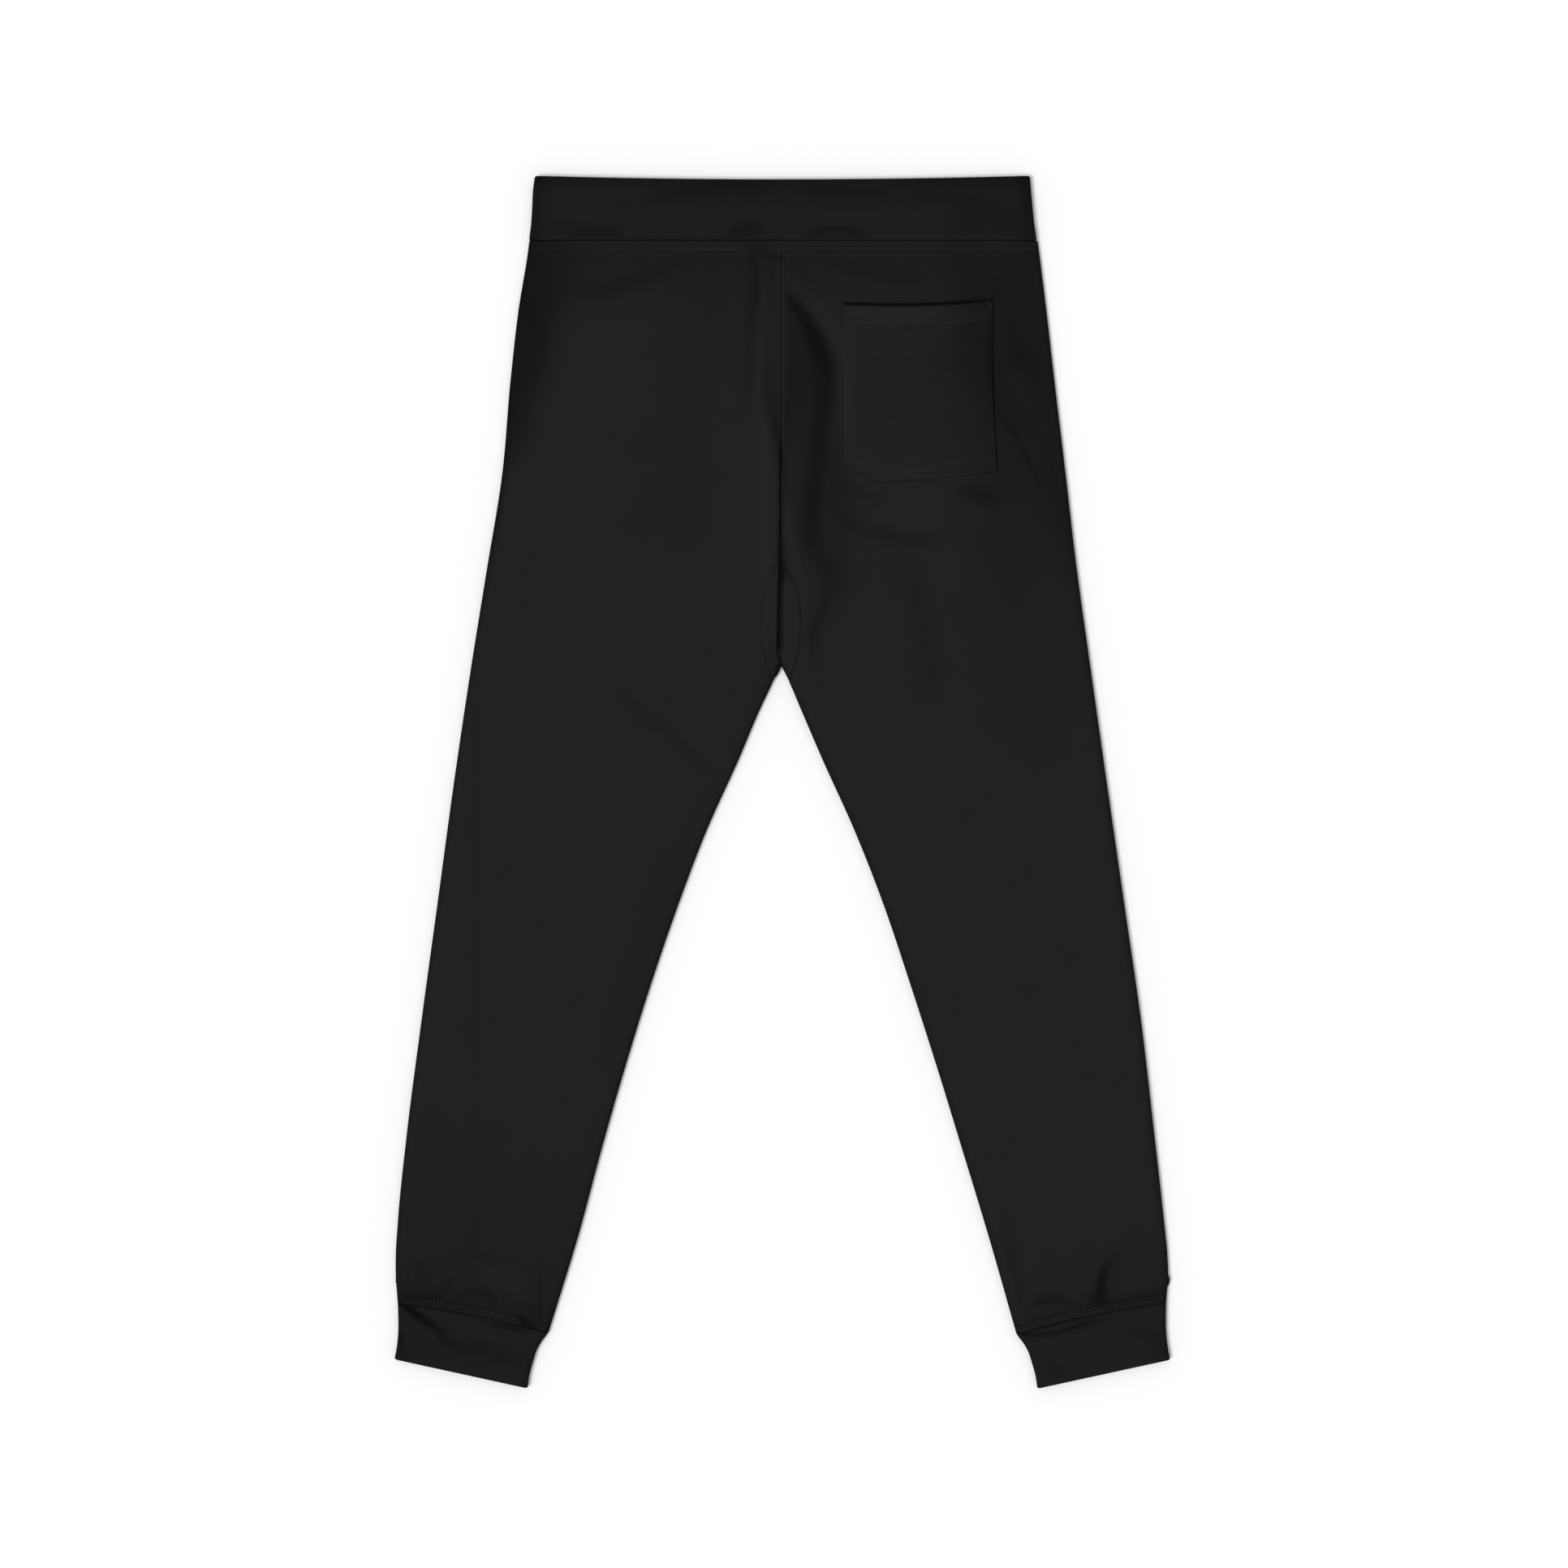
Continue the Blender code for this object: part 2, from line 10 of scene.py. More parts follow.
import bmesh
import bpy
import numpy as np
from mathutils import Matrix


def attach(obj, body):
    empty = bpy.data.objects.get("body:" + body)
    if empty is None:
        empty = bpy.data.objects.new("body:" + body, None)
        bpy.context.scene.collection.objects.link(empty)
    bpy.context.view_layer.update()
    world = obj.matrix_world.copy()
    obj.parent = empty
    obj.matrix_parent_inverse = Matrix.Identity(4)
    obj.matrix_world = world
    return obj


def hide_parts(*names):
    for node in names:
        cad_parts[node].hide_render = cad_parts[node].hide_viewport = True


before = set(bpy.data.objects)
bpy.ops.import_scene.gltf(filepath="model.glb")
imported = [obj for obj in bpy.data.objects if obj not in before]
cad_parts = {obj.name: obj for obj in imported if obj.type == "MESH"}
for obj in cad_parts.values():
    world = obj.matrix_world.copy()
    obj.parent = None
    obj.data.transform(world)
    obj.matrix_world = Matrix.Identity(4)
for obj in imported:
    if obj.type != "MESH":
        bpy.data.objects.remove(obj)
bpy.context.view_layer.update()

# ---- Back panels ------------------------------------------------------------------------------
# Two panels of black brushed-back jersey, from the waistband to the cuffs, sewn together down
# the seat. They lie over the front panels with a thin hollow between, and carry every fold:
# the left one rolls over the seat seam and shuts it into a deep crease down to the crotch.

MM = 0.001  # one millimetre, in metres
FLEECE = 1.2  # thickness of the jersey
SEAM_GAP = 0.12  # between two pieces that are sewn together
CROWN = 7.9  # face of the back away from its edges
SIDE_SEAM_Z = 3.0  # height of the side seams and inseams
BAND_SEAM_Y = 456.9
SEAM_X = -0.7  # centre-back and centre-front seams
GUSSET_TIP_Y = 186.0
GUSSET_END_Y = 84.9  # where the gusset's seams cross the crotch fold
CROTCH_Y = 98.6  # the lowest point between the legs


def column(rows, name):
    return np.array([getattr(row, name) for row in rows], float)


def smooth(at, rows, name, by="y"):
    """A smooth curve through one column of a table, read at places along another."""
    order = np.argsort(column(rows, by))
    places = column(rows, by)[order]
    values = column(rows, name)[order]
    slopes = np.gradient(values, places)
    i = np.clip(np.searchsorted(places, at) - 1, 0, len(places) - 2)
    step = places[i + 1] - places[i]
    t = np.clip((at - places[i]) / step, 0.0, 1.0)
    start = (1 + 2 * t) * (1 - t) ** 2 * values[i] + t * (1 - t) ** 2 * step * slopes[i]
    end = t * t * (3 - 2 * t) * values[i + 1] - t * t * (1 - t) * step * slopes[i + 1]
    return start + end


def ease(share):
    share = np.clip(share, 0.0, 1.0)
    return share * share * (3.0 - 2.0 * share)


def near(off, width):
    """1 at an edge, easing to 0 a width away from it."""
    return 1.0 - ease(off / width)


def between(at, limits):
    """Eased from 0 at the first limit to 1 at the second."""
    low, high = limits
    return ease((at - low) / (high - low))


def bowed(share):
    """0 at both ends of a line, 1 at its middle."""
    return 4.0 * share * (1.0 - share)


def hump(off, width):
    """Rounded section of a fold: 1 along its middle, nearly 0 a width away."""
    return np.exp(-2.0 * (off / width) ** 2)


def arc(share):
    """Height of a quarter circle of radius 1 above its rim, share in from the rim."""
    return np.sqrt(1.0 - (1.0 - np.clip(share, 0.0, 1.0)) ** 2)


def mix(a, b, share):
    return a + (b - a) * share


# The outline: X of the left and of the right leg's seams, at heights Y
Edge = namedtuple("Edge", "y left right")
OUTSEAM = [
    Edge(457.5, -213.2, 215.6),
    Edge(448.0, -214.4, 216.9),
    Edge(400.0, -222.2, 222.9),
    Edge(340.0, -229.1, 229.8),
    Edge(260.0, -236.2, 239.4),
    Edge(180.0, -249.1, 248.8),
    Edge(98.0, -262.3, 260.2),
    Edge(0.0, -276.9, 274.1),
    Edge(-100.0, -290.5, 288.5),
    Edge(-200.0, -304.2, 302.9),
    Edge(-300.0, -317.1, 314.6),
    Edge(-370.0, -324.2, 322.4),
    Edge(-400.0, -326.0, 325.3),
    Edge(-420.0, -325.8, 325.8),
    Edge(-434.0, -324.7, 324.5),
    Edge(-440.0, -324.3, 324.2),
]
INSEAM = [
    Edge(CROTCH_Y, -2.5, -0.6),
    Edge(GUSSET_END_Y, -7.8, 6.0),
    Edge(60.0, -19.4, 16.6),
    Edge(20.0, -36.3, 33.8),
    Edge(-40.0, -63.4, 60.9),
    Edge(-100.0, -86.4, 84.5),
    Edge(-170.0, -110.5, 108.1),
    Edge(-240.0, -132.3, 130.6),
    Edge(-310.0, -152.4, 152.1),
    Edge(-380.0, -171.2, 173.4),
    Edge(-466.0, -197.6, 198.0),
]


def seam_x(rows, side, y):
    return smooth(y, rows, "left" if side < 0 else "right")


def outline(rows, side, steps=70):
    heights = np.linspace(rows[-1].y, rows[0].y, steps)
    return np.stack([seam_x(rows, side, heights), heights], axis=1)


def beside(x, y, start, end):
    """The nearest share of a straight piece to each place, and how far off it the place is."""
    (x0, y0), (x1, y1) = start, end
    run_x = x1 - x0
    run_y = y1 - y0
    share = ((x - x0) * run_x + (y - y0) * run_y) / (run_x**2 + run_y**2)
    share = np.clip(share, 0.0, 1.0)
    return share, np.hypot(x - x0 - run_x * share, y - y0 - run_y * share)


def reach(x, y, line):
    """Shortest distance in plan from each place to a line of short straight pieces."""
    nearest = np.full(np.shape(x), np.inf)
    for start, end in zip(line[:-1], line[1:]):
        nearest = np.minimum(nearest, beside(x, y, start, end)[1])
    return nearest


OUTER_LINE = {side: outline(OUTSEAM, side) for side in (-1, 1)}
INNER_LINE = np.concatenate([outline(INSEAM, -1), outline(INSEAM, 1)[::-1]])


def from_side_seam(x, y):
    return np.where(x < SEAM_X, reach(x, y, OUTER_LINE[-1]), reach(x, y, OUTER_LINE[1]))


FOLD_RADIUS = 3.0  # of the cloth where it turns over a side seam
# How far in from each edge the panel still rises, and the share of that rise that is tight
Turn = namedtuple("Turn", "y left right inner tight_left tight_right")
EDGE_TURN = [
    Turn(460.0, 26.0, 20.0, 12.0, 0.45, 0.5),
    Turn(410.0, 26.0, 22.0, 12.0, 0.42, 0.45),
    Turn(340.0, 18.0, 20.0, 12.0, 0.45, 0.5),
    Turn(250.0, 9.0, 12.0, 12.0, 0.6, 0.6),
    Turn(60.0, 8.0, 8.0, 14.0, 0.66, 0.66),
    Turn(-60.0, 8.0, 8.0, 22.0, 0.66, 0.66),
    Turn(-220.0, 8.0, 8.0, 18.0, 0.66, 0.66),
    Turn(-440.0, 8.0, 8.0, 9.0, 0.66, 0.66),
]


def turned(inward, width, tight):
    """Rise of the cloth from its seam, 0, to where it lies flat, 1."""
    return tight * arc(inward / FOLD_RADIUS) + (1 - tight) * ease(inward / width)


def crown(y, on_left, outer, inner):
    """Share of its full height that the cloth has reached, inwards from its seams."""
    width = np.where(on_left, smooth(y, EDGE_TURN, "left"), smooth(y, EDGE_TURN, "right"))
    tight = np.where(
        on_left, smooth(y, EDGE_TURN, "tight_left"), smooth(y, EDGE_TURN, "tight_right")
    )
    inner_width = smooth(y, EDGE_TURN, "inner")
    return turned(outer, width, tight) * turned(inner, inner_width, EDGE_TURN[-1].tight_left)


# Long furrows that run down the seat: centre, width to each side, height and shade at each Y.
# A height below zero is a trough, above zero a ridge; shade is painted shade, how much darker the
# colour is made (below zero, a painted highlight).
Furrow = namedtuple("Furrow", "y x left right height shade")
FURROWS = [
    [  # the long trough right of the seat seam, with its hooked lower end
        Furrow(418.0, 2.0, 4.0, 4.0, 0.0, 0.0),
        Furrow(404.0, 10.0, 6.5, 9.5, -1.4, 0.72),
        Furrow(390.0, 21.0, 10.5, 9.5, -2.8, 1.02),
        Furrow(373.0, 29.5, 15.0, 11.0, -3.4, 1.10),
        Furrow(354.0, 37.5, 18.5, 10.5, -3.4, 0.99),
        Furrow(331.0, 38.0, 20.0, 11.5, -3.2, 0.82),
        Furrow(300.0, 34.5, 19.0, 12.0, -2.8, 0.77),
        Furrow(268.0, 31.0, 15.0, 13.0, -2.5, 0.70),
        Furrow(236.0, 26.5, 13.0, 14.0, -2.9, 0.76),
        Furrow(213.0, 23.5, 10.5, 17.0, -2.7, 0.70),
        Furrow(196.0, 26.5, 11.5, 22.0, -1.9, 0.48),
        Furrow(180.0, 38.0, 13.0, 18.0, -1.6, 0.39),
        Furrow(165.0, 40.5, 11.5, 14.0, -1.5, 0.37),
        Furrow(148.0, 35.5, 7.0, 9.0, -1.5, 0.36),
        Furrow(126.0, 27.5, 6.0, 10.0, -1.3, 0.30),
        Furrow(110.0, 28.0, 6.0, 9.0, -0.8, 0.20),
        Furrow(92.0, 25.0, 5.0, 6.0, 0.0, 0.0),
    ],
    [  # painted shade only, right of that trough's lower half
        Furrow(322.0, 50.0, 6.0, 8.0, 0.0, 0.0),
        Furrow(302.0, 49.5, 5.0, 6.0, 0.0, 0.11),
        Furrow(268.0, 47.0, 9.0, 14.0, 0.0, 0.27),
        Furrow(238.0, 46.0, 11.0, 19.0, 0.0, 0.28),
        Furrow(214.0, 49.0, 11.0, 20.0, 0.0, 0.18),
        Furrow(190.0, 50.0, 9.0, 12.0, 0.0, 0.15),
        Furrow(168.0, 53.0, 8.0, 9.0, 0.0, 0.08),
        Furrow(148.0, 49.0, 8.0, 8.0, 0.0, 0.06),
        Furrow(128.0, 48.0, 8.0, 8.0, 0.0, 0.0),
    ],
    [  # painted shade only, between the seat seam and the trough
        Furrow(414.0, 3.0, 4.0, 8.0, 0.0, 0.0),
        Furrow(402.0, 5.0, 5.0, 8.0, 0.0, 0.20),
        Furrow(386.0, 7.0, 5.0, 14.0, 0.0, 0.32),
        Furrow(360.0, 7.0, 5.0, 22.0, 0.0, 0.36),
        Furrow(340.0, 7.0, 5.5, 22.0, 0.0, 0.46),
        Furrow(322.0, 6.5, 6.0, 22.0, 0.0, 0.40),
        Furrow(305.0, 5.5, 6.0, 18.0, 0.0, 0.28),
        Furrow(285.0, 8.0, 6.0, 16.0, 0.0, 0.18),
        Furrow(240.0, 12.0, 6.0, 12.0, 0.0, 0.10),
        Furrow(218.0, 14.0, 6.0, 8.0, 0.0, 0.0),
    ],
    [  # painted shade only, on the side right of the crease's upper end
        Furrow(292.0, 2.0, 3.0, 4.0, 0.0, 0.0),
        Furrow(276.0, 2.4, 3.0, 4.0, 0.0, 0.22),
        Furrow(256.0, 2.8, 3.0, 4.0, 0.0, 0.30),
        Furrow(242.0, 2.8, 3.0, 3.5, 0.0, 0.24),
        Furrow(226.0, 2.8, 3.0, 3.0, 0.0, 0.0),
    ],
    [  # painted shade only, on the crease's right side, where the gusset starts
        Furrow(210.0, 1.6, 2.0, 2.5, 0.0, 0.0),
        Furrow(200.0, 1.6, 2.0, 3.2, 0.0, 0.36),
        Furrow(189.0, 1.4, 2.0, 4.0, 0.0, 0.20),
        Furrow(181.0, 0.8, 2.2, 4.9, 0.0, 0.50),
        Furrow(174.0, 1.8, 3.5, 3.0, 0.0, 0.56),
        Furrow(165.0, 1.0, 2.5, 2.5, 0.0, 0.0),
    ],
    [  # the dip that the seat seam lies in
        Furrow(448.0, -1.0, 5.0, 6.0, 0.0, 0.0),
        Furrow(425.0, -1.5, 6.0, 8.0, -0.4, 0.02),
        Furrow(402.0, -1.5, 9.0, 12.0, -1.1, 0.06),
        Furrow(370.0, -1.0, 13.0, 16.0, -2.0, 0.10),
        Furrow(344.0, -1.0, 13.0, 17.0, -2.5, 0.14),
        Furrow(316.0, -1.0, 11.0, 16.0, -2.6, 0.16),
        Furrow(293.0, -1.0, 7.0, 13.0, -2.2, 0.20),
        Furrow(265.0, -1.0, 5.0, 9.0, -1.0, 0.04),
        Furrow(236.0, -1.0, 4.0, 7.0, 0.0, 0.0),
    ],
    [  # the left panel's ridge, where it starts to roll over the seam
        Furrow(436.0, -13.0, 7.0, 7.0, 0.0, 0.0),
        Furrow(402.0, -14.5, 5.0, 6.0, 0.8, -0.05),
        Furrow(370.0, -17.5, 5.0, 5.5, 1.0, -0.04),
        Furrow(344.0, -19.0, 6.0, 5.5, 1.2, -0.07),
        Furrow(316.0, -18.0, 8.0, 5.5, 1.3, -0.08),
        Furrow(293.0, -12.8, 8.0, 6.0, 1.3, -0.12),
        Furrow(236.0, -13.0, 12.0, 9.0, 1.2, -0.11),
        Furrow(172.0, -12.0, 11.0, 9.0, 1.1, -0.10),
        Furrow(124.0, -13.0, 9.0, 8.0, 0.6, -0.06),
        Furrow(104.0, -15.0, 8.0, 7.0, 0.0, 0.0),
    ],
    [  # the shaded side of that ridge, down to where it meets the seam
        Furrow(392.0, -17.5, 2.0, 6.0, 0.0, 0.0),
        Furrow(372.0, -16.0, 2.0, 6.0, 0.0, 0.06),
        Furrow(345.0, -14.0, 2.0, 5.0, 0.0, 0.14),
        Furrow(330.0, -13.0, 2.0, 5.0, 0.0, 0.18),
        Furrow(320.0, -11.5, 2.0, 5.0, -0.2, 0.24),
        Furrow(310.0, -8.5, 2.0, 5.0, -0.4, 0.28),
        Furrow(300.0, -5.5, 2.0, 5.0, -0.6, 0.34),
        Furrow(292.0, -3.2, 2.0, 5.0, -0.6, 0.34),
        Furrow(282.0, -2.0, 2.0, 3.0, 0.0, 0.0),
    ],
    [  # cloth pulled down left of the ridge
        Furrow(458.0, -20.0, 8.0, 7.0, 0.0, 0.20),
        Furrow(440.0, -21.5, 9.0, 5.0, -0.5, 0.22),
        Furrow(410.0, -21.5, 11.0, 5.5, -0.8, 0.34),
        Furrow(390.0, -23.0, 11.0, 6.0, -0.7, 0.31),
        Furrow(370.0, -25.5, 12.0, 6.5, -0.5, 0.27),
        Furrow(345.0, -27.5, 11.0, 7.0, -0.3, 0.23),
        Furrow(322.0, -29.0, 11.0, 8.0, 0.0, 0.13),
        Furrow(296.0, -42.0, 20.0, 10.0, 0.0, 0.0),
    ],
    [  # the left seat's slow fall towards the middle
        Furrow(440.0, -52.0, 34.0, 26.0, 0.0, 0.0),
        Furrow(415.0, -56.0, 36.0, 26.0, 0.0, 0.05),
        Furrow(370.0, -58.0, 46.0, 18.0, -0.3, 0.11),
        Furrow(340.0, -64.0, 50.0, 22.0, -0.3, 0.08),
        Furrow(290.0, -70.0, 60.0, 22.0, -0.3, 0.05),
        Furrow(220.0, -72.0, 60.0, 22.0, -0.2, 0.045),
        Furrow(180.0, -70.0, 50.0, 20.0, 0.0, 0.0),
    ],
    [  # the ridge between the trough and the pocket
        Furrow(424.0, 10.0, 5.0, 6.0, 0.0, 0.0),
        Furrow(411.0, 22.0, 5.0, 7.0, 0.7, -0.05),
        Furrow(389.0, 42.5, 5.0, 8.0, 1.0, -0.08),
        Furrow(350.0, 53.0, 5.0, 8.0, 1.2, -0.16),
        Furrow(300.0, 54.0, 6.0, 8.0, 1.0, -0.16),
        Furrow(266.0, 52.0, 6.0, 8.0, 0.6, -0.10),
        Furrow(244.0, 48.0, 6.0, 8.0, 0.0, 0.0),
    ],
    [  # the ridge right of the crease, over the gusset's seam
        Furrow(268.0, 2.5, 3.0, 4.0, 0.0, 0.0),
        Furrow(236.0, 5.0, 4.0, 5.0, 0.9, -0.02),
        Furrow(197.0, 9.5, 6.0, 7.0, 1.4, -0.04),
        Furrow(178.0, 17.5, 8.0, 6.0, 1.5, -0.04),
        Furrow(149.0, 21.0, 9.0, 5.0, 1.3, -0.04),
        Furrow(126.0, 18.0, 9.0, 5.0, 0.9, -0.02),
        Furrow(100.0, 14.0, 8.0, 6.0, 0.0, 0.0),
    ],
    [  # the left hip falls away to its side seam, mostly with painted shade
        Furrow(462.0, -203.0, 30.0, 32.0, -0.5, 0.36),
        Furrow(440.0, -204.0, 30.0, 32.0, -0.7, 0.45),
        Furrow(420.0, -206.0, 30.0, 32.0, -0.9, 0.55),
        Furrow(400.0, -209.0, 30.0, 28.0, -0.9, 0.72),
        Furrow(386.0, -209.0, 30.0, 25.0, -0.9, 0.76),
        Furrow(372.0, -211.0, 30.0, 25.0, -0.9, 0.74),
        Furrow(358.0, -214.0, 27.0, 25.0, -0.8, 0.72),
        Furrow(345.0, -217.0, 23.0, 26.0, -0.7, 0.74),
        Furrow(330.0, -223.0, 18.0, 25.0, -0.6, 0.70),
        Furrow(305.0, -229.0, 14.0, 22.0, -0.5, 0.66),
        Furrow(285.0, -231.0, 12.0, 18.0, -0.4, 0.50),
        Furrow(262.0, -236.0, 8.0, 9.0, -0.2, 0.50),
        Furrow(225.0, -241.0, 5.0, 6.0, -0.1, 0.48),
        Furrow(195.0, -246.5, 5.0, 6.0, 0.0, 0.38),
        Furrow(168.0, -251.0, 4.0, 6.0, 0.0, 0.24),
        Furrow(110.0, -260.0, 4.0, 5.0, 0.0, 0.05),
    ],
    [  # the right hip falls away more widely, mostly with painted shade
        Furrow(462.0, 205.0, 30.0, 40.0, -0.4, 0.14),
        Furrow(427.0, 194.0, 28.0, 50.0, -0.8, 0.26),
        Furrow(386.0, 202.0, 28.0, 50.0, -0.9, 0.42),
        Furrow(352.0, 211.0, 32.0, 40.0, -0.8, 0.53),
        Furrow(309.0, 217.0, 26.0, 40.0, -0.6, 0.44),
        Furrow(280.0, 226.0, 22.0, 30.0, -0.4, 0.34),
        Furrow(240.0, 234.0, 24.0, 20.0, -0.2, 0.30),
        Furrow(190.0, 242.0, 20.0, 14.0, 0.0, 0.18),
        Furrow(150.0, 248.0, 18.0, 12.0, 0.0, 0.09),
        Furrow(60.0, 262.0, 10.0, 10.0, 0.0, 0.05),
        Furrow(20.0, 266.0, 10.0, 10.0, 0.0, 0.0),
    ],
    [  # and has a slight dip with painted shade beside and under the pocket
        Furrow(464.0, 160.0, 40.0, 40.0, 0.0, 0.08),
        Furrow(430.0, 162.0, 30.0, 22.0, -0.2, 0.20),
        Furrow(410.0, 165.0, 34.0, 30.0, -0.3, 0.34),
        Furrow(386.0, 175.0, 34.0, 32.0, -0.3, 0.38),
        Furrow(358.0, 176.0, 36.0, 32.0, -0.3, 0.40),
        Furrow(330.0, 179.0, 32.0, 24.0, -0.3, 0.46),
        Furrow(310.0, 187.0, 34.0, 24.0, -0.3, 0.42),
        Furrow(290.0, 194.0, 38.0, 26.0, -0.3, 0.36),
        Furrow(270.0, 194.0, 32.0, 34.0, -0.3, 0.36),
        Furrow(250.0, 187.0, 34.0, 56.0, -0.2, 0.28),
        Furrow(225.0, 200.0, 44.0, 52.0, 0.0, 0.22),
        Furrow(200.0, 205.0, 52.0, 52.0, 0.0, 0.17),
        Furrow(150.0, 205.0, 60.0, 52.0, 0.0, 0.10),
        Furrow(60.0, 215.0, 60.0, 50.0, 0.0, 0.07),
        Furrow(5.0, 220.0, 50.0, 50.0, 0.0, 0.0),
    ],
]


def furrowed(rows, x, y):
    """What one furrow adds to the height and to the shade of the cloth."""
    off = x - smooth(y, rows, "x")
    width = np.where(off < 0, smooth(y, rows, "left"), smooth(y, rows, "right"))
    body = hump(off, width)
    return smooth(y, rows, "height") * body, smooth(y, rows, "shade") * body


# Short folds, from one end to the other, bowed at the middle; lean makes the side that lies
# left of that direction wider and the other one steeper.
# Their shade is painted shade, as in the furrows; below zero it is a painted highlight.
Fold = namedtuple("Fold", "place x0 y0 x1 y1 bow width lean height shade")
FOLDS = [
    Fold("swell above the smile", -166.0, 434.0, -124.0, 441.0, -2.0, 9.0, 0.0, 0.8, -0.03),
    Fold("spot beside the seam", -29.0, 440.0, -22.0, 438.0, 0.0, 3.6, 0.0, -0.8, 0.24),
    Fold("pinch at the top of the seam", -16.0, 444.0, 4.0, 440.5, 0.0, 3.6, 0.0, -0.7, 0.24),
    Fold("pull left of the seam", -8.0, 440.0, -9.0, 414.0, 0.0, 4.0, 0.0, -0.5, 0.06),
    Fold("pull right of the seam", 8.0, 440.0, 24.0, 422.0, 2.0, 4.5, 0.0, -0.5, 0.12),
    Fold("swell beside that pull", 4.0, 430.0, 18.0, 418.0, 0.0, 4.0, 0.0, 0.5, -0.08),
    Fold("drag under the band, right", 36.0, 443.0, 120.0, 424.0, -5.0, 9.0, 0.0, -0.5, 0.12),
    Fold("dip over the pocket", 146.0, 441.0, 190.0, 414.0, 4.0, 13.0, 0.0, -0.9, 0.08),
    Fold("dimple on the right hip", 196.0, 368.0, 206.0, 350.0, 0.0, 11.0, 0.0, -0.7, 0.14),
    Fold("ridge beside the pocket", 191.0, 346.0, 228.0, 286.0, 2.0, 6.0, 0.0, 0.9, -0.14),
    Fold("pull beside the pocket", 184.0, 311.0, 218.0, 250.0, 2.0, 5.0, 0.3, -1.6, 0.22),
    Fold("pull at the hip edge", 222.0, 296.0, 232.0, 250.0, 1.0, 5.0, 0.0, -0.6, 0.10),
    Fold("dimple at the pocket's corner", 148.0, 247.0, 182.0, 236.0, 2.0, 11.0, 0.0, -1.1, 0.32),
    Fold("patch under the pocket", 100.0, 229.0, 138.0, 224.0, 3.0, 13.0, 0.0, 0.6, -0.04),
    Fold("arc under that patch", 52.0, 222.0, 131.0, 206.0, -6.0, 11.0, 0.0, -0.7, 0.18),
    Fold("dark at the pocket's left corner", 48.0, 254.0, 84.0, 236.0, 0.0, 9.0, 0.0, -0.4, 0.14),
    Fold("soft fall on the thigh", 104.0, 190.0, 128.0, 76.0, 5.0, 15.0, 0.0, -0.8, 0.13),
    Fold("second fall on the thigh", 150.0, 226.0, 198.0, 150.0, 5.0, 20.0, 0.0, -0.6, 0.08),
    Fold("drag across the left thigh", -131.0, 75.0, -60.0, 16.0, -1.0, 7.5, -0.2, -1.4, 0.09),
    Fold("swell above that drag", -112.0, 78.0, -50.0, 30.0, 0.0, 10.0, 0.0, 0.5, 0.0),
    Fold("left leg's inner fall", -86.0, -62.0, -142.0, -224.0, 0.0, 20.0, 0.0, -0.9, 0.09),
    Fold("left leg, faint fall", -200.0, 330.0, -206.0, 120.0, 6.0, 26.0, 0.0, -0.4, 0.0),
    Fold("right shin, upper tick", 118.0, -166.0, 124.0, -184.0, 0.0, 4.0, 0.0, -0.6, 0.05),
    Fold("right shin, lower tick", 135.0, -222.0, 141.0, -240.0, 0.0, 4.0, 0.0, -0.6, 0.05),
]
FOLD_TAPER = 0.17  # share of a fold's length, at each end, over which it dies away


def folded(rows, x, y):
    """What a table of short folds adds to the height and to the shade of the cloth."""
    rise = np.zeros(np.shape(x))
    shade = np.zeros(np.shape(x))
    for fold in rows:
        along_x = fold.x1 - fold.x0
        along_y = fold.y1 - fold.y0
        length = math.hypot(along_x, along_y)
        share = ((x - fold.x0) * along_x + (y - fold.y0) * along_y) / length**2
        across = ((y - fold.y0) * along_x - (x - fold.x0) * along_y) / length
        off = across - fold.bow * bowed(share)
        width = fold.width * np.where(off > 0, 1.0 + fold.lean, 1.0 - fold.lean)
        ends = ease((share + FOLD_TAPER) / (2 * FOLD_TAPER))
        ends = ends * ease((1.0 + FOLD_TAPER - share) / (2 * FOLD_TAPER))
        body = ends * hump(off, width)
        rise += fold.height * body
        shade += fold.shade * body
    return rise, shade
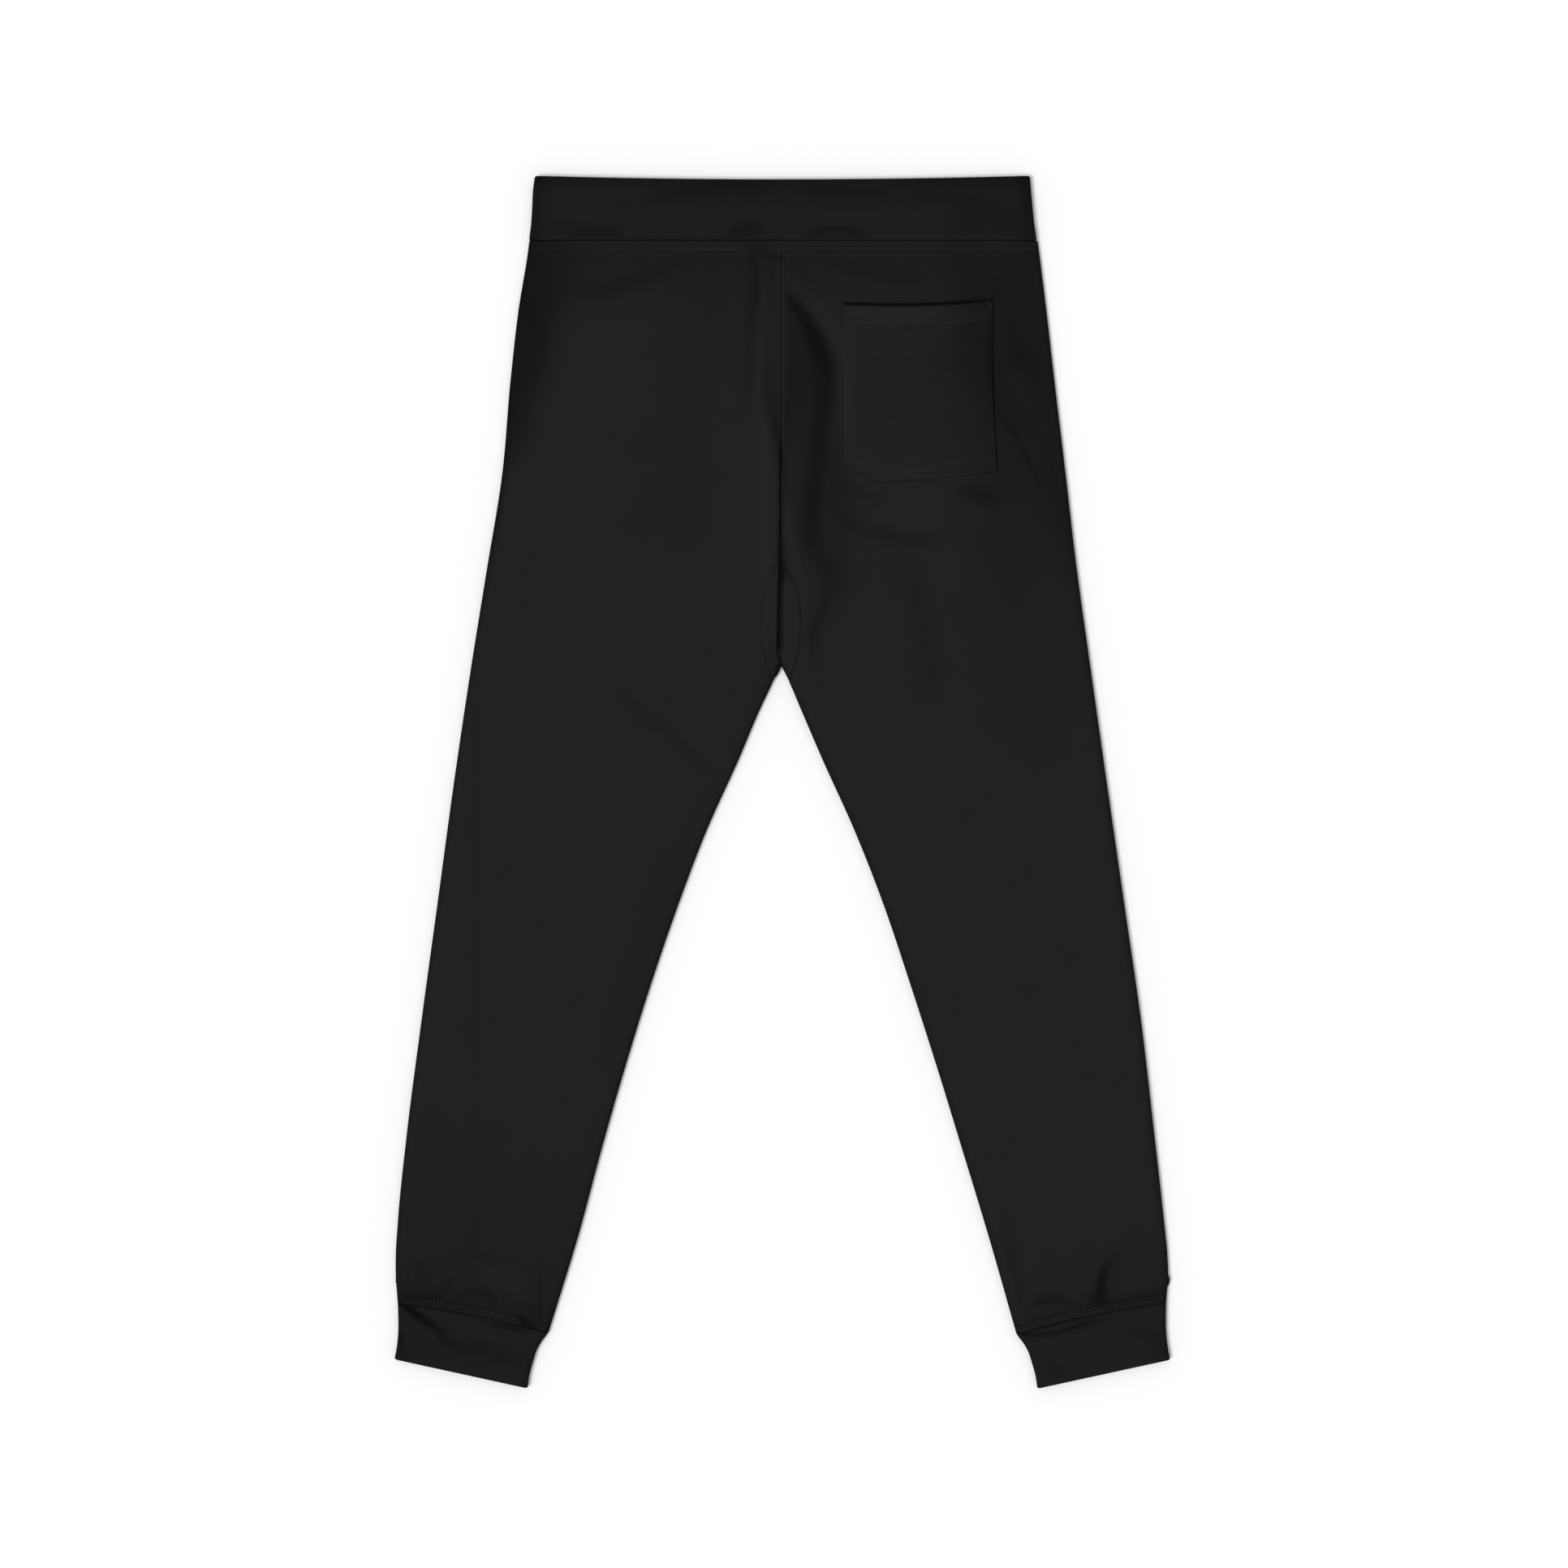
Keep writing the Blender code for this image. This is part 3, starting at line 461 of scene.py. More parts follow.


# Tucks along a bent line, each with its own width, height and painted shade from point to point
Tuck = namedtuple("Tuck", "x y width height shade")
TUCKS = [
    [  # the smile under the band
        Tuck(-191.0, 411.0, 9.0, 0.0, 0.0),
        Tuck(-149.0, 415.5, 9.5, -1.3, 0.17),
        Tuck(-114.0, 424.0, 9.5, -1.2, 0.15),
        Tuck(-87.0, 440.0, 7.5, -0.8, 0.08),
        Tuck(-68.0, 447.5, 6.0, 0.0, 0.0),
    ],
    [  # the pinch where the seat seam meets the band, mostly a painted dark line
        Tuck(-27.0, 448.6, 1.5, 0.0, 0.4),
        Tuck(-20.0, 448.3, 1.7, -0.3, 0.8),
        Tuck(-12.0, 448.9, 1.5, 0.0, 0.5),
    ],
    [  # right ankle, the deep tuck that widens to the cuff
        Tuck(289.0, -384.0, 6.0, 0.0, 0.0),
        Tuck(281.0, -396.0, 6.5, -0.9, 0.17),
        Tuck(274.0, -407.0, 5.5, -1.6, 0.34),
        Tuck(270.0, -417.0, 5.0, -2.4, 0.85),
        Tuck(269.0, -427.0, 5.6, -2.8, 0.95),
        Tuck(268.5, -434.0, 9.0, -2.4, 0.85),
        Tuck(268.0, -439.0, 13.0, -1.8, 0.76),
        Tuck(267.5, -444.0, 13.0, -0.6, 0.16),
    ],
    [  # right ankle, the soft fall beside that tuck
        Tuck(293.0, -384.0, 7.0, 0.0, 0.0),
        Tuck(286.0, -400.0, 8.0, -0.4, 0.13),
        Tuck(279.0, -416.0, 8.0, -0.4, 0.15),
        Tuck(275.0, -432.0, 7.0, 0.0, 0.06),
    ],
    [  # right ankle, upper arch
        Tuck(211.0, -438.5, 3.0, 0.0, 0.1),
        Tuck(216.5, -433.5, 3.0, -0.7, 0.20),
        Tuck(229.5, -430.6, 3.2, -0.8, 0.24),
        Tuck(246.0, -433.5, 4.0, 0.0, 0.0),
    ],
    [  # right ankle, lower arch
        Tuck(209.0, -443.0, 3.0, 0.0, 0.15),
        Tuck(218.0, -438.5, 3.6, -1.0, 0.40),
        Tuck(229.5, -436.2, 3.8, -1.1, 0.44),
        Tuck(241.0, -438.5, 4.0, -0.6, 0.30),
        Tuck(252.0, -442.0, 4.0, 0.0, 0.1),
    ],
    [  # right ankle, over the stitching
        Tuck(210.0, -450.5, 2.6, 0.0, 0.1),
        Tuck(222.0, -448.5, 2.8, -0.4, 0.16),
        Tuck(236.0, -446.0, 3.0, -0.4, 0.14),
        Tuck(247.0, -444.0, 3.0, 0.0, 0.0),
    ],
    [  # right ankle, outer side
        Tuck(278.0, -438.5, 5.0, 0.0, 0.1),
        Tuck(297.0, -434.0, 5.5, -0.7, 0.22),
        Tuck(315.0, -429.5, 5.0, -0.5, 0.20),
        Tuck(325.0, -427.0, 4.0, 0.0, 0.1),
    ],
    [  # right ankle, inner fall
        Tuck(182.0, -350.0, 8.0, 0.0, 0.0),
        Tuck(189.0, -374.0, 9.0, -0.4, 0.09),
        Tuck(195.0, -398.0, 9.5, -0.9, 0.17),
        Tuck(200.0, -425.0, 9.0, -0.9, 0.14),
        Tuck(202.0, -441.0, 6.0, 0.0, 0.05),
    ],
    [  # left ankle, gathered over the outer end of the stitching
        Tuck(-322.0, -437.0, 3.0, 0.0, 0.2),
        Tuck(-312.0, -434.0, 4.0, -0.7, 0.28),
        Tuck(-302.0, -432.0, 4.5, -1.0, 0.34),
        Tuck(-290.0, -433.0, 5.2, -1.2, 0.42),
        Tuck(-281.0, -426.0, 4.2, -0.8, 0.22),
        Tuck(-277.0, -416.0, 4.0, 0.0, 0.0),
    ],
    [  # left ankle, pull above that
        Tuck(-303.5, -400.0, 4.0, 0.0, 0.0),
        Tuck(-303.0, -408.0, 7.0, -0.7, 0.15),
        Tuck(-299.5, -421.0, 6.0, -0.9, 0.12),
        Tuck(-294.0, -430.0, 4.0, 0.0, 0.1),
    ],
    [  # left ankle, pull along the outer edge
        Tuck(-314.0, -402.0, 4.0, 0.0, 0.0),
        Tuck(-314.5, -418.0, 4.2, -0.8, 0.12),
        Tuck(-315.5, -430.0, 4.5, -0.9, 0.18),
        Tuck(-317.0, -437.0, 4.0, 0.0, 0.1),
    ],
    [  # left ankle, low arch
        Tuck(-275.0, -435.0, 3.0, 0.0, 0.08),
        Tuck(-267.5, -430.5, 3.2, -0.9, 0.26),
        Tuck(-257.5, -428.0, 3.4, -1.0, 0.30),
        Tuck(-248.0, -430.5, 3.6, -1.1, 0.28),
        Tuck(-242.5, -436.0, 3.6, -0.8, 0.24),
        Tuck(-240.5, -442.0, 3.4, 0.0, 0.1),
    ],
    [  # left ankle, faint arch above it
        Tuck(-274.0, -405.0, 7.0, 0.0, 0.0),
        Tuck(-259.0, -397.5, 8.0, -0.7, 0.10),
        Tuck(-246.0, -401.0, 8.0, -0.6, 0.09),
        Tuck(-236.0, -409.0, 7.0, 0.0, 0.0),
    ],
    [  # left ankle, the swell between that arch and the inner fall
        Tuck(-262.0, -412.0, 12.0, 0.0, 0.0),
        Tuck(-244.0, -415.0, 14.0, 0.6, -0.08),
        Tuck(-226.0, -424.0, 13.0, 0.6, -0.09),
        Tuck(-214.0, -436.0, 9.0, 0.0, 0.0),
    ],
    [  # left ankle, inner fall
        Tuck(-202.5, -392.0, 5.0, 0.0, 0.0),
        Tuck(-203.0, -418.0, 5.5, -1.2, 0.13),
        Tuck(-203.5, -444.0, 5.0, -1.2, 0.15),
        Tuck(-204.0, -453.0, 4.0, 0.0, 0.1),
    ],
    [  # left ankle, bunched over the inner end of the stitching
        Tuck(-222.0, -445.0, 3.0, 0.0, 0.0),
        Tuck(-219.0, -452.5, 4.6, -0.8, 0.70),
        Tuck(-216.0, -456.0, 6.8, -1.2, 0.95),
        Tuck(-209.0, -459.0, 5.8, -1.0, 0.62),
        Tuck(-202.0, -461.5, 3.6, 0.0, 0.18),
    ],
    [  # and what that bunching pulls in above the stitching
        Tuck(-220.0, -440.0, 4.0, 0.0, 0.0),
        Tuck(-214.0, -443.5, 5.5, -0.4, 0.26),
        Tuck(-208.0, -449.0, 4.0, 0.0, 0.10),
    ],
]


def tucked(tucks, x, y):
    """What a table of tucks along bent lines adds to the height and to the shade."""
    rise = np.zeros(np.shape(x))
    shade = np.zeros(np.shape(x))
    for rows in tucks:
        nearest = np.zeros(np.shape(x))
        part_rise = np.zeros(np.shape(x))
        part_shade = np.zeros(np.shape(x))
        for a, b in zip(rows[:-1], rows[1:]):
            share, off = beside(x, y, (a.x, a.y), (b.x, b.y))
            body = hump(off, mix(a.width, b.width, share))
            closer = body > nearest
            part_rise = np.where(closer, mix(a.height, b.height, share) * body, part_rise)
            part_shade = np.where(closer, mix(a.shade, b.shade, share) * body, part_shade)
            nearest = np.maximum(nearest, body)
        rise += part_rise
        shade += part_shade
    return rise, shade


# Where each leg is sewn to its cuff: the outer and the inner end of the seam
CUFF_SEAM = {
    -1: ((-324.3, -440.0), (-197.6, -464.6)),
    1: ((324.2, -438.6), (198.0, -465.6)),
}
CUFF_BOW = {-1: 2.8, 1: 2.2}  # how far the middle of each seam is drawn up
CUFF_BOW_REACH = 60.0  # and how far above it the cloth is drawn with it


def drawn_up(side, share):
    """How far a cuff's seam is drawn up, at a share of its length."""
    return CUFF_BOW[side] * bowed(share)


def above_cuff(x, y):
    """Distance up the leg from its cuff's seam."""
    up = np.zeros(np.shape(x))
    for side, (start, end) in CUFF_SEAM.items():
        run_x = (end[0] - start[0]) * -side
        run_y = (end[1] - start[1]) * -side
        above = ((y - start[1]) * run_x - (x - start[0]) * run_y) / math.hypot(run_x, run_y)
        share = np.clip((x - start[0]) / (end[0] - start[0]), 0.0, 1.0)
        up = np.where(np.sign(x - SEAM_X) == side, above - drawn_up(side, share), up)
    return up


EDGE_SHADE = 0.34  # painted shade where the cloth turns over an edge
EDGE_SHADE_WIDTH = 6.5
RIM_SHADE = 0.45  # and at the very edge
RIM_WIDTH = 1.8
WAIST_SHADE = 0.25  # painted shade, growing towards the waistband
WAIST_SHADE_Y = (376.0, 446.0)
# Painted shade towards each cuff: by how much, and from how far above its seam
ANKLE_SHADE = {-1: ((0.15, 200.0), (0.17, 40.0)), 1: ((0.13, 65.0), (0.20, 16.0))}


def edge_shade(y, on_left, edge, up):
    """Painted shade along the edges, at the waist and towards the cuffs."""
    shade = EDGE_SHADE * near(edge, EDGE_SHADE_WIDTH) + RIM_SHADE * near(edge, RIM_WIDTH)
    shade = shade + WAIST_SHADE * between(y, WAIST_SHADE_Y)
    for side, steps in ANKLE_SHADE.items():
        for amount, fall in steps:
            shade = shade + (on_left == (side < 0)) * amount * near(up, fall)
    return shade


# Where stitching or a seam presses the cloth: how far it sinks and how much painted shade it gets
STITCH_DIP = 0.3
STITCH_SHADE = 0.03
STITCH_BLUR = 0.6  # width over which a pressed strip starts
CUFF_PRESS_HALF = 3.3  # half width of the strip that a cuff's stitching presses
LADDER_GROOVE = (3.0, 0.7, 0.58)  # its needle rows' grooves: off its middle, half width, painted shade
SEAM_SHADE = 0.75
SEAM_SHADE_WIDTH = 1.6
BAND_SEAM_WIDTH = (1.3, 0.5, 1.1)  # widths of the painted seam shade: on the band left and right of its join, and on the panels
COVER_HALF = 2.9  # from the middle of a cover stitch to its outer needle rows
BAND_STITCH_Y = 452.3
SEAT_STITCH = (288.0, 447.0)  # lower and upper end of the seat seam's stitching
CUFF_STITCH_UP = 4.2  # from a cuff's seam to the middle of its cover stitch
# Painted shade along a cuff's seam and its hem's fold, and under its stitching; below zero,
# lighter
CuffSeam = namedtuple("CuffSeam", "x seam ladder")
CUFF_SEAM_SHADE = [
    CuffSeam(-326.0, 0.50, 0.16),
    CuffSeam(-284.0, 0.50, 0.15),
    CuffSeam(-277.0, 0.40, 0.10),
    CuffSeam(-269.0, -0.08, 0.05),
    CuffSeam(-256.0, -0.16, 0.0),
    CuffSeam(-231.0, -0.16, 0.04),
    CuffSeam(-222.0, 0.20, 0.14),
    CuffSeam(-205.0, 0.40, 0.08),
    CuffSeam(205.0, 0.50, 0.0),
    CuffSeam(214.0, 0.50, 0.03),
    CuffSeam(240.0, 0.50, 0.0),
    CuffSeam(257.0, 0.42, 0.06),
    CuffSeam(268.0, 0.05, -0.06),
    CuffSeam(278.0, -0.10, 0.04),
    CuffSeam(300.0, -0.05, 0.08),
    CuffSeam(326.0, 0.15, 0.10),
]


def cuff_seam_shade(x):
    return smooth(x, CUFF_SEAM_SHADE, "seam", by="x")


def band_of(off, half):
    """1 within half a width of a line of stitching, 0 beyond it."""
    return 1.0 - ease((np.abs(off) - half + STITCH_BLUR / 2) / STITCH_BLUR)


def stitched(x, y):
    """1 where cover stitch lies over the panels, 0 elsewhere."""
    low, high = SEAT_STITCH
    seat = band_of(x - SEAM_X, COVER_HALF) * (y > low) * (y < high)
    band = band_of(y - BAND_STITCH_Y, COVER_HALF)
    cuff = band_of(above_cuff(x, y) - CUFF_STITCH_UP, CUFF_PRESS_HALF)
    return np.maximum(np.maximum(seat, band), cuff)


def seam_shade(x, y, up):
    """Painted shade at the band's seam, and at a cuff's seam and stitching."""
    shade = SEAM_SHADE * near(BAND_SEAM_Y - y, BAND_SEAM_WIDTH[2])
    shade = shade + cuff_seam_shade(x) * near(np.abs(up), SEAM_SHADE_WIDTH)
    off, half, dark = LADDER_GROOVE
    groove = (np.abs(up - CUFF_STITCH_UP) - off) / half
    ladder = smooth(x, CUFF_SEAM_SHADE, "ladder", by="x")
    ladder = ladder * band_of(up - CUFF_STITCH_UP, CUFF_PRESS_HALF)
    return shade + dark * np.exp(-(groove**2)) + ladder


# The gusset's outline: half its width at heights Y
Oval = namedtuple("Oval", "y half_width")
GUSSET = [
    Oval(GUSSET_TIP_Y, 0.9),
    Oval(180.0, 4.6),
    Oval(171.3, 9.8),
    Oval(157.0, 14.5),
    Oval(141.0, 16.5),
    Oval(128.0, 16.5),
    Oval(118.5, 15.6),
    Oval(108.0, 14.0),
    Oval(96.0, 10.9),
    Oval(GUSSET_END_Y, 7.0),
]


def gusset_x(side, y):
    return SEAM_X + side * smooth(y, GUSSET, "half_width")


# The crease over the seat seam: its middle, its half gap to each wall, how far it is shut, and
# the painted shade on its walls
Crease = namedtuple("Crease", "y x left right shut shade")
CREASE = [
    Crease(304.0, -0.7, 0.1, 0.1, 0.0, 0.0),
    Crease(293.0, -0.7, 0.2, 0.3, 0.3, 0.3),
    Crease(282.0, -0.7, 0.5, 0.4, 0.9, 0.4),
    Crease(250.0, -0.6, 0.8, 0.6, 0.80, 0.0),
    Crease(215.0, -0.6, 0.9, 0.6, 0.80, 0.0),
    Crease(200.0, -0.7, 1.2, 1.0, 0.92, 0.1),
    Crease(188.0, -0.8, 1.4, 1.5, 1.0, 0.3),
    Crease(153.0, -1.6, 1.4, 1.7, 1.0, 0.4),
    Crease(133.0, -2.0, 1.5, 1.9, 1.0, 0.45),
    Crease(119.0, -2.1, 1.6, 1.9, 1.0, 0.55),
    Crease(113.0, -2.7, 1.3, 1.6, 1.0, 0.8),
    Crease(107.0, -2.6, 0.9, 1.0, 1.0, 0.9),
    Crease(102.0, -1.5, 0.5, 0.6, 1.0, 0.5),
    Crease(98.0, -1.3, 0.2, 0.2, 0.5, 0.3),
    Crease(92.0, -1.3, 0.2, 0.2, 0.0, 0.0),
    Crease(84.0, -1.4, 0.2, 0.2, 0.0, 0.0),
]
CREASE_Z = 2.9  # face of the cloth at the bottom of the crease
ROLL_Z = 3.9  # lower end of the left panel's roll, above that
ROLL_RADIUS = 2.0
RIGHT_WALL = 3.2  # radius of the crease's right wall
ROLL_SHADE = 0.30  # painted shade on the roll where it turns down, above the gusset
ROLL_SHADE_WIDTH = 4.8
ROLL_SHADE_Y = (168.0, 198.0)


def crease_left(y):
    return smooth(y, CREASE, "x") - smooth(y, CREASE, "left")


def lie(x, y, side):
    """Height of the back's face, and the painted shade of its colour, at places in plan.

    Side -1 is the left panel, which rolls over the crease; 1 is what lies right of it.
    """
    x, y = np.broadcast_arrays(np.asarray(x, float), np.asarray(y, float))
    on_left = x < SEAM_X
    outer = from_side_seam(x, y)
    inner = reach(x, y, INNER_LINE)
    edge = np.minimum(outer, inner)
    up = above_cuff(x, y)
    rise, shade = np.add(folded(FOLDS, x, y), tucked(TUCKS, x, y))
    for rows in FURROWS:
        rise, shade = np.add((rise, shade), furrowed(rows, x, y))
    pressed = stitched(x, y)
    rise = rise - STITCH_DIP * pressed
    height = SIDE_SEAM_Z + (CROWN - SIDE_SEAM_Z) * crown(y, on_left, outer, inner)
    height = height + rise * ease(edge / FOLD_RADIUS / 2)
    shade = shade + STITCH_SHADE * pressed
    shade = shade + edge_shade(y, on_left, edge, up) + seam_shade(x, y, up)
    shut = smooth(y, CREASE, "shut")
    if side < 0:
        off = crease_left(y) - x
        height = mix(height, ROLL_Z + (height - ROLL_Z) * arc(off / ROLL_RADIUS), shut)
        turn_down = between(y, ROLL_SHADE_Y) * near(off, ROLL_SHADE_WIDTH)
        return height, shade + ROLL_SHADE * shut * turn_down
    wall = arc((x - smooth(y, CREASE, "x") - smooth(y, CREASE, "right")) / RIGHT_WALL)
    height = mix(height, CREASE_Z + (height - CREASE_Z) * wall, shut)
    return height, shade + smooth(y, CREASE, "shade") * (1 - wall)


# Grid steps: the finest at a panel's edges, how fast they grow inwards, and the coarsest
Steps = namedtuple("Steps", "fine start_growth end_growth coarse")
ACROSS = Steps(0.3, 0.45, 0.10, 2.8)
DOWN_LEG = Steps(0.3, 0.06, 9.0, 3.3)
DOWN_SEAT = Steps(0.3, 9.0, 0.25, 2.2)
BACK_GRID = (190, 176, 102)  # rows of the leg and of the seat, and columns
SPACING_SAMPLES = 1200


def spaced(length, count, steps):
    """Places from 0 to length, close together at its ends as the steps say."""
    fine_places = np.linspace(0.0, length, SPACING_SAMPLES)
    size = np.minimum(
        steps.fine + steps.start_growth * fine_places,
        steps.fine + steps.end_growth * (length - fine_places),
    )
    density = 1.0 / np.minimum(size, steps.coarse)
    total = np.concatenate([[0.0], np.cumsum((density[1:] + density[:-1]) / 2)])
    return np.interp(np.linspace(0.0, total[-1], count), total, fine_places)


ROLL_END_Y = 178.0  # below this the gusset's left half forms the roll
UNDERLAP = 4.0  # how far the right side reaches under the roll
ROLL_START = 3.0  # the roll and that underlap begin over this length


def inner_edge(side, y):
    """X of a back panel's inner edge above the crotch: seat seam or gusset seam, or the roll."""
    sewn_x = np.where(y > GUSSET_TIP_Y, SEAM_X, gusset_x(side, y)) + side * SEAM_GAP / 2
    shut = smooth(y, CREASE, "shut")
    if side < 0:
        return np.minimum(sewn_x, mix(sewn_x, crease_left(y), shut))
    return sewn_x - UNDERLAP * shut * ease((y - GUSSET_TIP_Y) / ROLL_START)


def panel_rows(side, leg_rows, seat_rows, leg_steps, seat_steps):
    """Heights of each row at the outer and inner edge, from the cuff up to the band."""
    outer_end, inner_end = CUFF_SEAM[side]
    shares = spaced(GUSSET_END_Y - outer_end[1], leg_rows, leg_steps)
    shares = 1.0 - shares / shares[-1]
    leg = [GUSSET_END_Y + (end[1] - GUSSET_END_Y) * shares for end in (outer_end, inner_end)]
    seat = GUSSET_END_Y + spaced(BAND_SEAM_Y - GUSSET_END_Y, seat_rows, seat_steps)[1:]
    return np.concatenate([leg[0], seat]), np.concatenate([leg[1], seat])


def panel_plan(side, rows, columns, steps, edge):
    """Plan of a panel's grid and how far each place is in from its inner edge."""
    outer_y, inner_y = rows
    outer_x = seam_x(OUTSEAM, side, outer_y)
    inner_x = np.where(inner_y > GUSSET_END_Y, edge(side, inner_y), seam_x(INSEAM, side, inner_y))
    width = np.hypot(inner_x - outer_x, inner_y - outer_y)
    share = np.stack([spaced(w, columns, steps) / w for w in width])
    x = mix(outer_x[:, None], inner_x[:, None], share)
    y = mix(outer_y[:, None], inner_y[:, None], share)
    follows = 1.0 - np.clip((outer_y - outer_y[0]) / CUFF_BOW_REACH, 0.0, 1.0)
    y = y + drawn_up(side, share) * follows[:, None]
    return x, y, (1.0 - share) * width[:, None]


LIP = 1.1  # how far a panel's edge turns down into a flat seam
LIP_WIDTH = 1.5
# The seat seam and the gusset's seams are pulled flatter than the others
SEAT_LIP = 0.5
GUSSET_LIP = {-1: 0.08, 1: 0.6}


def lip(inward):
    """How far a sewn edge turns down into its seam."""
    return LIP * (1.0 - arc(inward / LIP_WIDTH))


def raised(z):
    """0 at the height of the side seams, 1 well above them."""
    return ease((z - SIDE_SEAM_Z) / 2)


GRAIN_TILT = math.radians(11.0)  # the legs' grain from upright


def along_grain(x, y, tilt):
    """Place on the flat cloth, with its second number along the wales."""
    return np.stack([x * math.cos(tilt) + y * math.sin(tilt),
                     y * math.cos(tilt) - x * math.sin(tilt), 0.0 * x], axis=-1)


def in_scene(name, data):
    """A new object linked into the scene."""
    obj = bpy.data.objects.new(name, data)
    bpy.context.scene.collection.objects.link(obj)
    return obj


WELD = 1e-7  # points nearer than this, in metres, are joined


def cloth(name, x, y, z, grain, shade, flip=False, wrap=False):
    """A grid mesh moved to rows of points, which keeps its place on the cloth and carries its
    painted shade.
    """
    rows, columns = x.shape
    bm = bmesh.new()
    bmesh.ops.create_grid(bm, x_segments=columns - 1, y_segments=rows - 1, size=1.0)
    mesh = bpy.data.meshes.new(name)
    bm.to_mesh(mesh)
    count = len(mesh.vertices)
    corners = np.empty(count * 3)
    mesh.vertices.foreach_get("co", corners)
    corners = corners.reshape(-1, 3)
    i = np.rint((corners[:, 0] + 1) / 2 * (columns - 1)).astype(int)
    j = np.rint((corners[:, 1] + 1) / 2 * (rows - 1)).astype(int)
    places = np.stack([x[j, i], y[j, i], z[j, i]], axis=1) * MM
    mesh.vertices.foreach_set("co", places.ravel())
    grain_layer = mesh.attributes.new("grain", "FLOAT_VECTOR", "POINT")
    grain_layer.data.foreach_set("vector", (grain[j, i] * MM).ravel())
    # the painted shade, as a factor on the cloth's colour
    painted_shading_layer = mesh.attributes.new("painted_shading", "FLOAT", "POINT")
    painted_shading_layer.data.foreach_set("value", np.exp(-shade[j, i]).ravel())
    bm.clear()
    bm.from_mesh(mesh)
    if wrap:
        bmesh.ops.remove_doubles(bm, verts=bm.verts, dist=WELD)
        bmesh.ops.recalc_face_normals(bm, faces=bm.faces)
    if flip:
        bmesh.ops.reverse_faces(bm, faces=bm.faces)
    bm.to_mesh(mesh)
    bm.free()
    mesh.shade_smooth()
    return in_scene(name, mesh)


def thicken(obj, thickness):
    """Gives the cloth its thickness, inwards from its face."""
    modifier = obj.modifiers.new("cloth", "SOLIDIFY")
    modifier.thickness = thickness * MM
    modifier.offset = -1.0
    modifier.use_quality_normals = True


def node(tree, kind, inputs=None, **settings):
    """Adds a node with its settings, and feeds its inputs from values or other sockets."""
    made = tree.nodes.new(kind)
    for key, value in settings.items():
        setattr(made, key, value)
    for key, value in (inputs or {}).items():
        if isinstance(value, bpy.types.NodeSocket):
            tree.links.new(value, made.inputs[key])
        else:
            made.inputs[key].default_value = value
    return made


def reckon(tree, operation, *values):
    """The result of one Math node."""
    return node(tree, "ShaderNodeMath", dict(enumerate(values)), operation=operation).outputs[0]


def scaled(tree, vector, factor):
    """A colour or place multiplied by one number."""
    made = node(tree, "ShaderNodeVectorMath", {0: vector}, operation="SCALE")
    if isinstance(factor, bpy.types.NodeSocket):
        tree.links.new(factor, made.inputs["Scale"])
    else:
        made.inputs["Scale"].default_value = factor
    return made.outputs[0]


def new_group(name, inputs, outputs):
    """An empty shader node group with its sockets; returns it and its two end nodes."""
    tree = bpy.data.node_groups.new(name, "ShaderNodeTree")
    for socket, kind, value in inputs:
        made = tree.interface.new_socket(socket, in_out="INPUT", socket_type=kind)
        if value is not None:
            made.default_value = value
    for socket, kind in outputs:
        tree.interface.new_socket(socket, in_out="OUTPUT", socket_type=kind)
    return tree, tree.nodes.new("NodeGroupInput"), tree.nodes.new("NodeGroupOutput")


KNIT_SLANT = -0.55  # courses by which a leg of each V drops across half a wale
KNIT_ROPE = (0.22, 0.70)  # ripple and mean height of its yarn
KNIT_GAP = 4.0  # how sharply the yarn ends between two wales
STREAK_SCALE = (60.0, 900.0, 1.0)  # the streaks are long along a course


def make_knit_group():
    """Plain jersey: columns of V-shaped stitches, with thick and thin courses as faint streaks."""
    tree, start, end = new_group(
        "jersey knit",
        [
            ("Place", "NodeSocketVector", None),
            ("Wale", "NodeSocketFloat", 0.001),
            ("Course", "NodeSocketFloat", 0.0008),
        ],
        [("Stitch", "NodeSocketFloat"), ("Streak", "NodeSocketFloat")],
    )
    split = node(tree, "ShaderNodeSeparateXYZ", {0: start.outputs["Place"]})
    across = reckon(tree, "DIVIDE", split.outputs["X"], start.outputs["Wale"])
    down = reckon(tree, "DIVIDE", split.outputs["Y"], start.outputs["Course"])
    side = reckon(tree, "MULTIPLY", reckon(tree, "PINGPONG", across, 0.5), 2.0)
    slanted = reckon(tree, "MULTIPLY_ADD", side, KNIT_SLANT, down)
    wave = reckon(tree, "COSINE", reckon(tree, "MULTIPLY", slanted, 2 * math.pi))
    rope = reckon(tree, "MULTIPLY_ADD", wave, *KNIT_ROPE)
    gap = reckon(tree, "SUBTRACT", 1.0, reckon(tree, "POWER", side, KNIT_GAP))
    stitch = reckon(tree, "MULTIPLY", rope, gap)
    long_way = node(
        tree,
        "ShaderNodeMapping",
        {"Vector": start.outputs["Place"], "Scale": STREAK_SCALE},
    )
    streak = node(
        tree,
        "ShaderNodeTexNoise",
        {"Vector": long_way.outputs[0], "Scale": 1.0, "Detail": 2.0, "Roughness": 0.6},
    )
    tree.links.new(stitch, end.inputs["Stitch"])
    tree.links.new(streak.outputs["Fac"], end.inputs["Streak"])
    return tree


FIBRE_SCALE = 2600.0
PATCH_SCALE = 22.0


